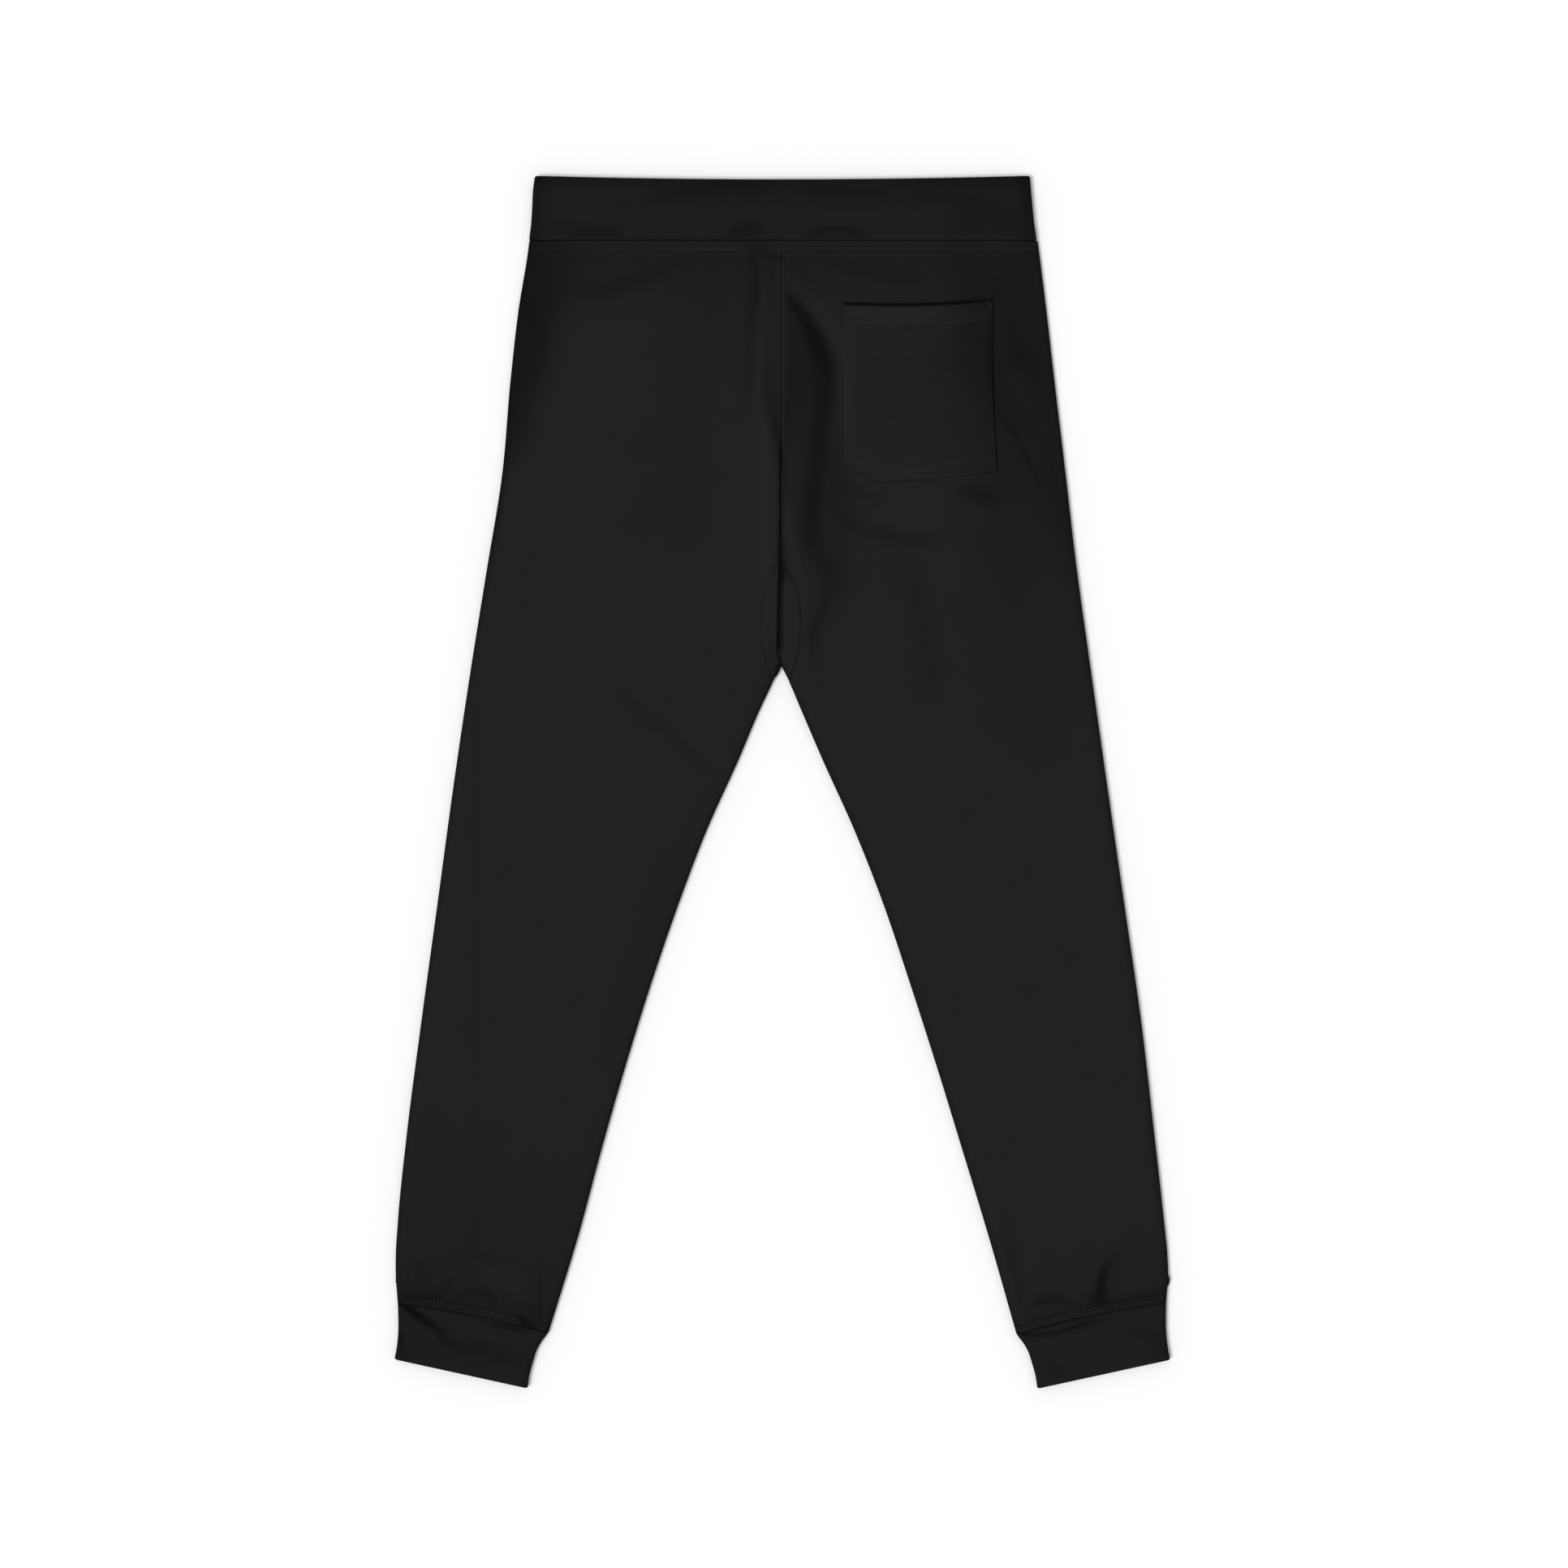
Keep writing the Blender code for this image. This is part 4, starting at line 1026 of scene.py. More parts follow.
def make_nap_group():
    """Fuzz on the face: fine fibres, and soft patches where the nap was brushed another way."""
    tree, start, end = new_group(
        "nap",
        [("Place", "NodeSocketVector", None)],
        [("Fibre", "NodeSocketFloat"), ("Patch", "NodeSocketFloat")],
    )
    fibre = node(
        tree,
        "ShaderNodeTexNoise",
        {"Vector": start.outputs["Place"], "Scale": FIBRE_SCALE, "Detail": 3.0, "Roughness": 0.7},
    )
    patch = node(
        tree,
        "ShaderNodeTexNoise",
        {"Vector": start.outputs["Place"], "Scale": PATCH_SCALE, "Detail": 3.0, "Roughness": 0.55},
    )
    tree.links.new(fibre.outputs["Fac"], end.inputs["Fibre"])
    tree.links.new(patch.outputs["Fac"], end.inputs["Patch"])
    return tree


KNIT = make_knit_group()
NAP = make_nap_group()

# A knit's colour, the size of its stitches and their depth, its roughness, and how strongly it
# is streaked and patched
Finish = namedtuple("Finish", "colour wale course depth roughness streak patch")
FLEECE_FINISH = Finish((0.0139, 0.0125, 0.0131), 1.0, 0.8, 0.10, 0.95, 0.10, 0.10)
STITCH_TONE = (0.30, 0.86)  # lightness that the stitches add, to what lies between them
FIBRE_RELIEF = 0.35  # height of the fibres against that of the stitches
FIBRE_ROUGHNESS = 0.06  # how much the fibres vary the roughness


def cloth_material(name, finish):
    """Matt knitted cloth: its own colour darkened by the painted shade it carries, with stitches
    in relief.
    """
    material = bpy.data.materials.new(name)
    material.use_nodes = True
    tree = material.node_tree
    shader = tree.nodes["Principled BSDF"]
    grain = node(tree, "ShaderNodeAttribute", attribute_name="grain").outputs["Vector"]
    painted_shading = node(tree, "ShaderNodeAttribute", attribute_name="painted_shading").outputs["Fac"]
    stitch_size = {"Wale": finish.wale * MM, "Course": finish.course * MM}
    knit = node(tree, "ShaderNodeGroup", {"Place": grain, **stitch_size}, node_tree=KNIT)
    nap = node(tree, "ShaderNodeGroup", {"Place": grain}, node_tree=NAP)
    streak, patch = knit.outputs["Streak"], nap.outputs["Patch"]
    streaks = reckon(tree, "MULTIPLY_ADD", streak, finish.streak, 1 - finish.streak / 2)
    patches = reckon(tree, "MULTIPLY_ADD", patch, finish.patch, 1 - finish.patch / 2)
    stitches = reckon(tree, "MULTIPLY_ADD", knit.outputs["Stitch"], *STITCH_TONE)
    lightness = reckon(tree, "MULTIPLY", reckon(tree, "MULTIPLY", streaks, patches), stitches)
    # darkened by the painted shade of folds, seams and edges
    lightness = reckon(tree, "MULTIPLY", lightness, painted_shading)
    colour = node(tree, "ShaderNodeRGB")
    colour.outputs[0].default_value = (*finish.colour, 1.0)
    tree.links.new(scaled(tree, colour.outputs[0], lightness), shader.inputs["Base Color"])
    fibre = nap.outputs["Fibre"]
    relief = reckon(tree, "MULTIPLY_ADD", fibre, FIBRE_RELIEF, knit.outputs["Stitch"])
    bump = node(
        tree,
        "ShaderNodeBump",
        {"Height": relief, "Distance": finish.depth * MM, "Strength": 1.0},
    )
    tree.links.new(bump.outputs[0], shader.inputs["Normal"])
    smoothest = finish.roughness - FIBRE_ROUGHNESS / 2
    rough = reckon(tree, "MULTIPLY_ADD", fibre, FIBRE_ROUGHNESS, smoothest)
    tree.links.new(rough, shader.inputs["Roughness"])
    shader.inputs["Specular IOR Level"].default_value = 0.03
    shader.inputs["Sheen Weight"].default_value = 0.01
    shader.inputs["Sheen Roughness"].default_value = 0.5
    return material


def dress(obj, material, nodes):
    """Gives a piece its finish, and says what it rides on and which solids it replaces."""
    obj.data.materials.append(material)
    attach(obj, "root")
    if nodes:
        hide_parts(*nodes)


CURL = ((-0.4, -0.35), (-1.8, -0.75))  # the roll's edge turned under: steps in X and Z
CURL_DROP = 0.01  # each step lies at least this much lower

FLEECE_MATERIAL = cloth_material("black fleece jersey", FLEECE_FINISH)


def back_panel(name, side, nodes):
    leg_rows, seat_rows, columns = BACK_GRID
    rows = panel_rows(side, leg_rows, seat_rows, DOWN_LEG, DOWN_SEAT)
    x, y, inward = panel_plan(side, rows, columns, ACROSS, inner_edge)
    z, shade = lie(x, y, side)
    inner_y = rows[1][:, None]
    rolled = smooth(inner_y, CREASE, "shut") * ease((inner_y - ROLL_END_Y) / ROLL_START)
    sewn_down = 1.0 - rolled if side < 0 else 1.0
    flatter = np.where(inner_y > GUSSET_TIP_Y, SEAT_LIP, GUSSET_LIP[side])
    z = z - flatter * lip(inward) * (inner_y > GUSSET_END_Y) * sewn_down
    z = z - lip(BAND_SEAM_Y - y) * raised(z)
    z = z - lip(np.abs(above_cuff(x, y))) * raised(z)
    if side < 0:
        for step_x, step_z in CURL:
            x = np.concatenate([x, x[:, -1:] + step_x * rolled], axis=1)
            y = np.concatenate([y, y[:, -1:]], axis=1)
            z = np.concatenate([z, z[:, -1:] + step_z * rolled - CURL_DROP], axis=1)
            shade = np.concatenate([shade, shade[:, -1:]], axis=1)
    grain = along_grain(x, y, side * GRAIN_TILT)
    obj = cloth(name, x, y, z, grain, shade, flip=side > 0)
    thicken(obj, FLEECE)
    dress(obj, FLEECE_MATERIAL, nodes)


back_panel("back_left_cloth", -1, ["back_left"])
back_panel("back_right_cloth", 1, ["back_right"])

# ---- Front panels -----------------------------------------------------------------------------
# Two panels of the same jersey underneath, joined down the front rise. They lie flat on the
# floor and turn up at the side seams and inseams, where they are sewn to the back.

FRONT_TURN = 3.6  # how far in from a seam the cloth reaches the floor
ON_FLOOR = 1.0  # cloth below this lies on the floor
FRONT_SEAM_ASIDE = 0.7  # from the seat seam to the centre-front seam
FRONT_SEAM_START = 12.0  # it moves aside over this length
LOWER_GUSSET_OUT = 0.6  # and the lower gusset seams this far from those on top
FRONT_ACROSS = Steps(0.4, 0.5, 0.5, 6.0)
FRONT_LEG = Steps(0.4, 0.4, 9.0, 7.0)
FRONT_SEAT = Steps(0.4, 9.0, 0.4, 7.0)
FRONT_GRID = (92, 66, 52)  # rows of the leg and of the seat, and columns


def under(x, y):
    """Height of the front's face, which is the underside as it lies."""
    inward = np.minimum(from_side_seam(x, y), reach(x, y, INNER_LINE))
    return (SIDE_SEAM_Z - SEAM_GAP) * (1.0 - arc(inward / FRONT_TURN))


def lower_gusset_x(side, y):
    """X of the gusset's seams underneath, which run a little outside those on top."""
    share = np.clip((GUSSET_TIP_Y - y) / (GUSSET_TIP_Y - GUSSET_END_Y), 0.0, 1.0)
    return gusset_x(side, y) + side * LOWER_GUSSET_OUT * bowed(share)


def front_edge(side, y):
    """X of a front panel's inner edge: the centre-front seam, then the gusset's."""
    front_seam = SEAM_X + FRONT_SEAM_ASIDE * ease((y - GUSSET_TIP_Y) / FRONT_SEAM_START)
    return np.where(y > GUSSET_TIP_Y, front_seam, lower_gusset_x(side, y)) + side * SEAM_GAP / 2


def front_panel(name, side, nodes):
    leg_rows, seat_rows, columns = FRONT_GRID
    rows = panel_rows(side, leg_rows, seat_rows, FRONT_LEG, FRONT_SEAT)
    x, y, inward = panel_plan(side, rows, columns, FRONT_ACROSS, front_edge)
    z = under(x, y) + lip(inward) * (rows[1][:, None] > GUSSET_END_Y)
    z = z + lip(BAND_SEAM_Y - y) * (z < ON_FLOOR)
    grain = along_grain(x, y, side * GRAIN_TILT)
    obj = cloth(name, x, y, z, grain, 0.0 * z, flip=side < 0)
    thicken(obj, FLEECE)
    dress(obj, FLEECE_MATERIAL, nodes)


front_panel("front_left_cloth", -1, ["front_left"])
front_panel("front_right_cloth", 1, ["front_right"])

# ---- Crotch gusset ----------------------------------------------------------------------------
# A pointed oval of the same jersey, let in between the four panels and folded at the crotch.
# Its left half is tucked under the left panel's roll; its right seam shows beside the crease.

GUSSET_ROWS = 72
GUSSET_TOP_Y = 189.2  # its tip is caught under the panels
GUSSET_COLUMNS = (24, 34)  # left and right of its fold
GUSSET_SPANS = (15.0, 19.0)  # widths that those columns are spaced for
LOWER_FOLD_CLEAR = (0.3, 0.6)  # least distance of the lower fold from each seam
LOWER_FOLD_STEP = 0.3
ROLL_COLUMNS = Steps(0.3, 0.3, 0.12, 0.9)
RIGHT_COLUMNS = Steps(0.25, 0.15, 0.3, 0.9)
GUSSET_DOWN = Steps(0.6, 0.6, 0.12, 2.0)


def gusset_plan(edge_y, left, fold, right, step=0.0):
    """Rows of the gusset in plan, with columns close together at the fold over the crease."""
    to_fold, from_fold = (
        spaced(span, count, steps) / span
        for span, count, steps in zip(GUSSET_SPANS, GUSSET_COLUMNS, (ROLL_COLUMNS, RIGHT_COLUMNS))
    )
    x = np.concatenate(
        [
            mix(left[:, None], fold[:, None], to_fold),
            mix(fold[:, None] + step, right[:, None], from_fold),
        ],
        axis=1,
    )
    share = (GUSSET_TOP_Y - edge_y) / (GUSSET_TOP_Y - GUSSET_END_Y)
    middle_y = GUSSET_TOP_Y - share * (GUSSET_TOP_Y - CROTCH_Y)
    half = smooth(edge_y, GUSSET, "half_width")[:, None]
    aside = np.clip(np.abs(x - SEAM_X) / half, 0.0, 1.0)
    return x, mix(middle_y[:, None], edge_y[:, None], aside), len(to_fold)


def gusset_top(edge_y):
    """The half on top: its left part rolls over the crease, its right part rises from it."""
    seam = gusset_x(-1, edge_y) + SEAM_GAP / 2
    right = gusset_x(1, edge_y) - SEAM_GAP / 2
    fold = crease_left(edge_y)
    shown = ease(fold - seam)
    left = mix(fold - UNDERLAP, seam, shown)
    x, y, count = gusset_plan(edge_y, left, fold, right)
    roll_z, roll_shade = lie(x[:, :count], y[:, :count], -1)
    rise_z, rise_shade = lie(x[:, count:], y[:, count:], 1)
    roll_lip = GUSSET_LIP[-1] * lip(x[:, :count] - left[:, None])
    rise_lip = GUSSET_LIP[1] * lip(right[:, None] - x[:, count:])
    roll_z = roll_z - roll_lip * raised(roll_z)
    rise_z = rise_z - rise_lip * raised(rise_z)
    roll_z = mix(CREASE_Z, roll_z, shown[:, None])
    z = np.concatenate([roll_z, rise_z], axis=1)
    return x, y, z, np.concatenate([roll_shade, rise_shade], axis=1)


def gusset_under(edge_y):
    """The half folded underneath, which lies flat on the floor."""
    left = lower_gusset_x(-1, edge_y) + SEAM_GAP / 2
    right = lower_gusset_x(1, edge_y) - SEAM_GAP / 2
    off_left, off_right = LOWER_FOLD_CLEAR
    fold = np.clip(crease_left(edge_y), left + off_left, right - off_right)
    x, y, _ = gusset_plan(edge_y, left, fold, right, step=LOWER_FOLD_STEP)
    z = under(x, y)
    edge = np.minimum(x - left[:, None], right[:, None] - x)
    return x, y, z + lip(edge) * (z < ON_FLOOR), 0.0 * z


def gusset_cloth(name, nodes):
    """Both halves in one grid, from the upper tip over the fold at the crotch to the lower tip."""
    down = GUSSET_TOP_Y - spaced(GUSSET_TOP_Y - GUSSET_END_Y, GUSSET_ROWS, GUSSET_DOWN)
    halves = zip(gusset_top(down), gusset_under(down[-2::-1]))
    x, y, z, shade = (np.concatenate(pair) for pair in halves)
    obj = cloth(name, x, y, z, along_grain(x, y, 0.0), shade, flip=True)
    thicken(obj, FLEECE)
    dress(obj, FLEECE_MATERIAL, nodes)


gusset_cloth("gusset_cloth", ["gusset"])

# ---- Back pocket ------------------------------------------------------------------------------
# One patch of the jersey on the right back panel, its edges turned under and top-stitched, its
# lower inner corner cut off, and its mouth turned over once and cover-stitched.

POCKET_TOP_LEFT = (52.3, 404.4)
POCKET_TOP_RIGHT = (177.8, 407.4)
POCKET_LOWER_LEFT = (51.2, 269.4)
POCKET_CHAMFER_END = (80.5, 253.0)
POCKET_LOWER_RIGHT = (181.6, 261.2)
POCKET_SIDE_BOW = -1.6  # its outer side is pulled in
POCKET_SAG = 2.4  # of its mouth between the corners
POCKET_CLOTH = 1.3  # thickness
POCKET_LIFT = 0.25  # clear of the panel
POCKET_HEM = 18.0
POCKET_HEM_RISE = 0.7
POCKET_HEM_STEP = 2.4  # width over which the cloth steps up to the hem
POCKET_TURNING = 11.5  # width of the edge that is turned under
POCKET_TURNING_RISE = 0.35
POCKET_TURNING_STEP = 4.0
POCKET_EDGE = 1.5  # radius of the folded edge
POCKET_GAPE = 1.3  # how far the mouth stands open
POCKET_GAPE_DEPTH = 30.0
POCKET_GAPE_FLATNESS = 0.6  # below 1 it opens more evenly from corner to corner
POCKET_GRID = (118, 92)
POCKET_DOWN = Steps(0.003, 0.25, 0.25, 0.011)  # shares of its height
POCKET_ACROSS = Steps(0.003, 0.25, 0.25, 0.013)  # and of its width
# Painted shade and painted highlight on the pocket's colour:
POCKET_PANEL_SHARE = 0.85  # how much of the panel's painted shade is painted on it too
POCKET_SHADE = 0.04
POCKET_HEM_SHADE = -0.10  # painted highlight on its hem
POCKET_TURNING_SHADE = -0.06  # and on its turned edges
POCKET_FALL_SHADE = 0.10  # painted shade towards its right side
POCKET_FALL_X = (108.0, 158.0)
POCKET_RIM = (1.0, 1.2, 4.0)  # widths of the painted shade in the turn at its left edge, right edge and mouth
POCKET_RIM_SHADE = (0.0, 0.5, 2.2)
POCKET_MOUTH_END = (158.0, 172.0)  # where the mouth's painted dark line thins out
POCKET_MOUTH_THIN = 0.6  # and by which share
POCKET_TUCKS = [
    [  # the turned corner of its mouth, mostly a painted dark line
        Tuck(168.2, 406.0, 1.1, 0.0, 0.9),
        Tuck(171.5, 400.0, 1.3, -0.2, 0.8),
        Tuck(175.4, 392.8, 1.1, 0.0, 0.9),
    ],
    [  # and the painted lighter triangle it leaves
        Tuck(174.5, 403.5, 2.4, 0.2, -0.22),
        Tuck(175.8, 399.0, 1.6, 0.1, -0.14),
    ],
    [  # a painted dark line along its lower edge beside the corner
        Tuck(146.0, 253.2, 1.0, 0.0, 0.0),
        Tuck(155.0, 255.6, 1.1, 0.0, 0.45),
        Tuck(168.0, 258.8, 1.1, 0.0, 0.35),
        Tuck(180.0, 262.5, 1.3, 0.0, 0.50),
    ],
    [  # painted shade down its right side
        Tuck(176.0, 394.0, 4.0, 0.0, 0.0),
        Tuck(176.5, 378.0, 5.5, 0.0, 0.26),
        Tuck(178.0, 345.0, 6.5, 0.0, 0.36),
        Tuck(179.5, 318.0, 5.0, 0.0, 0.26),
        Tuck(180.5, 292.0, 4.0, 0.0, 0.0),
    ],
    [  # a painted shadow along its turned right edge
        Tuck(175.6, 392.0, 2.6, 0.0, 0.0),
        Tuck(177.0, 360.0, 3.0, 0.0, 0.26),
        Tuck(179.0, 310.0, 3.0, 0.0, 0.26),
        Tuck(180.5, 268.0, 2.6, 0.0, 0.16),
    ],
    [  # painted shade on its upper half
        Tuck(78.0, 350.0, 22.0, 0.0, 0.05),
        Tuck(160.0, 352.0, 24.0, 0.0, 0.09),
    ],
    [  # and a painted highlight on its lower end
        Tuck(62.0, 274.0, 11.0, 0.0, -0.06),
        Tuck(90.0, 265.0, 11.0, 0.0, -0.05),
        Tuck(172.0, 268.0, 9.0, 0.0, -0.05),
    ],
    [  # painted shade where the hem pulls beside the corner
        Tuck(140.0, 384.0, 9.0, 0.0, 0.0),
        Tuck(152.0, 380.0, 11.0, 0.0, 0.20),
        Tuck(163.0, 376.0, 9.0, 0.0, 0.16),
        Tuck(173.0, 368.0, 7.0, 0.0, 0.10),
    ],
]


def pocket_left(v):
    """X of its left side at a share of its height."""
    return mix(POCKET_LOWER_LEFT[0], POCKET_TOP_LEFT[0], v)


def pocket_right(v):
    unbowed = mix(POCKET_LOWER_RIGHT[0], POCKET_TOP_RIGHT[0], v)
    return unbowed + POCKET_SIDE_BOW * np.sin(math.pi * v)


def pocket_low(u):
    """The pocket's lower edge: the cut-off corner, then a straight edge that sags a little."""
    width = POCKET_LOWER_RIGHT[0] - POCKET_LOWER_LEFT[0]
    corner = (POCKET_CHAMFER_END[0] - POCKET_LOWER_LEFT[0]) / width
    cut = mix(POCKET_LOWER_LEFT[1], POCKET_CHAMFER_END[1], u / corner)
    share = np.clip((u - corner) / (1.0 - corner), 0.0, 1.0)
    flat = mix(POCKET_CHAMFER_END[1], POCKET_LOWER_RIGHT[1], share)
    flat = flat - POCKET_SAG * np.sin(math.pi * share) / 2
    return np.where(u < corner, cut, flat)


def pocket_top(u):
    return mix(POCKET_TOP_LEFT[1], POCKET_TOP_RIGHT[1], u) - POCKET_SAG * np.sin(math.pi * u)


def pocket_plan(u, v):
    """Places at shares of its width and of its height."""
    x = mix(pocket_left(v), pocket_right(v), u)
    return x, mix(pocket_low(u), pocket_top(u), v)


def on_pocket(x, y):
    """Height of the pocket's face and its painted shade at places in plan."""
    v = np.clip((y - POCKET_LOWER_LEFT[1]) / (POCKET_TOP_LEFT[1] - POCKET_LOWER_LEFT[1]), 0, 1)
    u = np.clip((x - pocket_left(v)) / (pocket_right(v) - pocket_left(v)), 0.0, 1.0)
    z, shade = lie(x, y, 1)
    from_left = x - pocket_left(v)
    from_right = pocket_right(v) - x
    down = pocket_top(u) - y
    edge = np.minimum(np.minimum(from_left, from_right), y - pocket_low(u))
    hem = ease((POCKET_HEM - down) / POCKET_HEM_STEP + 0.5)
    turning = ease((POCKET_TURNING - edge) / POCKET_TURNING_STEP + 0.5) * (1.0 - hem)
    mouth = ease(1.0 - down / POCKET_GAPE_DEPTH) * np.sin(math.pi * u) ** POCKET_GAPE_FLATNESS
    folded_edge = POCKET_EDGE * (1.0 - arc(np.minimum(edge, down) / POCKET_EDGE))
    z = z + POCKET_LIFT + POCKET_CLOTH + POCKET_HEM_RISE * hem + POCKET_TURNING_RISE * turning
    right_side = between(x, POCKET_FALL_X)
    shade = shade * POCKET_PANEL_SHARE + POCKET_SHADE * (1.0 - hem)
    shade = shade + POCKET_FALL_SHADE * right_side + POCKET_HEM_SHADE * hem
    shade = shade + POCKET_TURNING_SHADE * turning * (1.0 - right_side)
    more_rise, more_shade = tucked(POCKET_TUCKS, x, y)
    # painted dark lines in the turn at its left edge, right edge and mouth
    dark = [
        amount * near(off, width)
        for amount, off, width in zip(POCKET_RIM_SHADE, (from_left, from_right, down), POCKET_RIM)
    ]
    dark[2] = dark[2] * (1.0 - POCKET_MOUTH_THIN * between(x, POCKET_MOUTH_END))
    shade = shade + more_shade + np.maximum(np.maximum(dark[0], dark[1]), dark[2])
    return z + more_rise + POCKET_GAPE * mouth - folded_edge, shade


def patch_pocket(name, nodes):
    rows, columns = POCKET_GRID
    v = spaced(1.0, rows, POCKET_DOWN)[:, None]
    u = spaced(1.0, columns, POCKET_ACROSS)[None, :]
    x, y = pocket_plan(*np.broadcast_arrays(u, v))
    z, shade = on_pocket(x, y)
    obj = cloth(name, x, y, z, along_grain(x, y, 0.0), shade)
    thicken(obj, POCKET_CLOTH)
    dress(obj, POCKET_MATERIAL, nodes)


POCKET_FINISH = FLEECE_FINISH._replace(streak=0.46, patch=0.06)
POCKET_MATERIAL = cloth_material("black fleece pocket", POCKET_FINISH)
patch_pocket("back_pocket_cloth", ["back_pocket"])

# ---- Waistband --------------------------------------------------------------------------------
# One strip of jersey doubled over a wide elastic and joined at the centre back, sewn to the top
# of the panels. Its upper edge is a fold, and it lies as a flat ring of two walls.

BAND_HEIGHT = 8.0
BAND_WALL = 3.3
BAND_FOLD = 1.5  # radius of its folded upper edge
BAND_SEAM_FOLD = 0.9  # and of its edge at the seam
Hoop = namedtuple("Hoop", "y left right")
BAND = [
    Hoop(457.0, -213.3, 214.8),
    Hoop(461.0, -213.0, 214.4),
    Hoop(470.0, -211.9, 213.0),
    Hoop(485.0, -210.9, 211.5),
    Hoop(500.0, -210.1, 210.1),
    Hoop(511.4, -208.6, 209.2),
]
BAND_LENGTH = BAND[-1].y - BAND[0].y
BAND_TOP_DIP = 3.0  # how far the middle of its upper edge sags
# Their shade is painted shade; rows without height are painted shade alone.
BAND_FOLDS = [
    Fold("long dent at the top", -106.0, 493.0, -12.0, 501.5, 2.5, 8.0, 0.2, -1.0, 0.30),
    Fold("dent right of the join", 16.0, 499.0, 86.0, 498.0, 1.0, 5.0, 0.0, -0.8, 0.26),
    Fold("dimple by the left hip", -174.0, 464.5, -136.0, 463.0, 0.0, 8.0, 0.0, -0.7, 0.36),
    Fold("dimple left of the join", -44.0, 462.0, -17.0, 467.0, 1.0, 8.0, 0.0, -0.8, 0.46),
    Fold("arc right of the join", 22.0, 462.0, 70.0, 461.5, 4.0, 5.0, 0.0, -0.7, 0.42),
    Fold("swell over that arc", 30.0, 476.0, 110.0, 474.0, 2.0, 8.0, 0.0, 0.4, -0.05),
    Fold("left quarter, long dip", -190.0, 500.0, -90.0, 488.0, -4.0, 8.0, 0.0, -0.4, 0.02),
    Fold("right quarter, long dip", 110.0, 497.0, 190.0, 480.0, 6.0, 10.0, 0.0, -0.4, 0.10),
    # painted shade alone, with no fall in the band's height
    Fold("right end falls away", 140.0, 472.0, 210.0, 472.0, 0.0, 26.0, 0.0, 0.0, 0.20),
    Fold("left end above the seam", -204.0, 468.0, -172.0, 466.0, 0.0, 10.0, 0.0, 0.0, 0.14),
    Fold("upper half, right part", -112.0, 496.0, 204.0, 494.0, 0.0, 14.0, 0.0, 0.0, 0.12),
    Fold("centre-back join", -0.4, 509.0, -0.6, 459.0, 0.0, 1.0, 0.0, -0.5, 0.18),
]
BAND_SIDE_SHADE = (0.50, 17.0)  # painted shade at its sides, and over which width
BAND_TOP_SHADE = (0.44, 16.0)  # and along its folded upper edge
BAND_COLUMNS = 176
BAND_ROWS = 30
RING_TURN = 10  # steps in each half turn at a ring's sides
WALL_CORNER = 5  # places round each folded corner of its wall
WALL_STEPS = (0.3, 0.3, 2.4)  # growth from each end and the coarsest, as in Steps
FOLD_CLEAR = 1.2  # in fold radii, the flat wall's distance from the end of a fold


def ring(left, right, height, inset, across, dip=0.0):
    """Places in one turn round a flattened ring, inset into its wall, and how far round.

    Its middle is lowered in plan by dip.
    """
    radius = height / 2.0 - inset
    start = np.array(left, float)
    run = np.array(right, float) - start
    width = float(np.hypot(*run))
    run = run / width
    flat_s = np.linspace(height / 2.0, width - height / 2.0, across + 1)
    half_turn = np.linspace(0.0, math.pi, RING_TURN + 1)
    right_s = width - height / 2.0 + radius * np.sin(half_turn[1:-1])
    right_z = height / 2.0 + radius * np.cos(half_turn[1:-1])
    left_s = height / 2.0 - radius * np.sin(half_turn[1:-1])
    left_z = height / 2.0 - radius * np.cos(half_turn[1:-1])
    top = np.full(across + 1, height / 2.0 + radius)
    low = np.full(across + 1, height / 2.0 - radius)
    s = np.concatenate([flat_s, right_s, flat_s[::-1], left_s, flat_s[:1]])
    z = np.concatenate([top, right_z, low, left_z, top[:1]])
    x = start[0] + run[0] * s
    y = start[1] + run[1] * s - dip * bowed(np.clip(s / width, 0.0, 1.0))
    return x, y, z, s


def wall_profile(length, wall, fold, seam_fold, count):
    """Places round the section of a doubled wall: how far from its folded edge, and how deep."""
    corner = np.linspace(0.0, math.pi / 2.0, WALL_CORNER)
    flat = spaced(length, count, Steps(fold / 2, *WALL_STEPS))
    flat = flat[(flat > fold * FOLD_CLEAR) & (flat < length - seam_fold * FOLD_CLEAR)]
    outer = [(fold * (1 - math.sin(a)), fold * (1 - math.cos(a))) for a in corner[::-1]]
    outer += [(place, 0.0) for place in flat]
    outer += [
        (length - seam_fold * (1 - math.sin(a)), seam_fold * (1 - math.cos(a))) for a in corner
    ]
    inner = [(place, wall - depth) for place, depth in reversed(outer)]
    return outer + inner + outer[:1]


def tube(profile, turn_at, height, wall, dented, side_shade):
    """A flattened ring of doubled cloth: its places, how far round and from its fold, its painted
    shade.

    turn_at gives one turn round it for a place of the profile, and dented what its dents add.
    """
    turns = [turn_at(place, depth) for place, depth in profile]
    x, y, z, along = (np.stack([turn[k] for turn in turns]) for k in range(4))
    from_fold, depth = (np.array(column)[:, None] + 0.0 * x for column in zip(*profile))
    rise, shade = dented(x, y)
    on_top = ease((z - height / 2) / 2) * (depth < wall / 2)
    side = np.minimum(along, along.max(1)[:, None] - along)
    amount, width = side_shade
    shade = shade * on_top + amount * near(side, width)
    return x, y, z + rise * on_top, along, from_fold, shade


def band_turn(down, depth):
    """One turn round the waistband, at a distance down from its upper edge."""
    y = BAND[-1].y - down
    left = (float(smooth(y, BAND, "left")), y)
    right = (float(smooth(y, BAND, "right")), y)
    dip = BAND_TOP_DIP * (1.0 - down / BAND_LENGTH)
    return ring(left, right, BAND_HEIGHT, depth, BAND_COLUMNS, dip)


def band_dented(x, y):
    return folded(BAND_FOLDS, x, y)


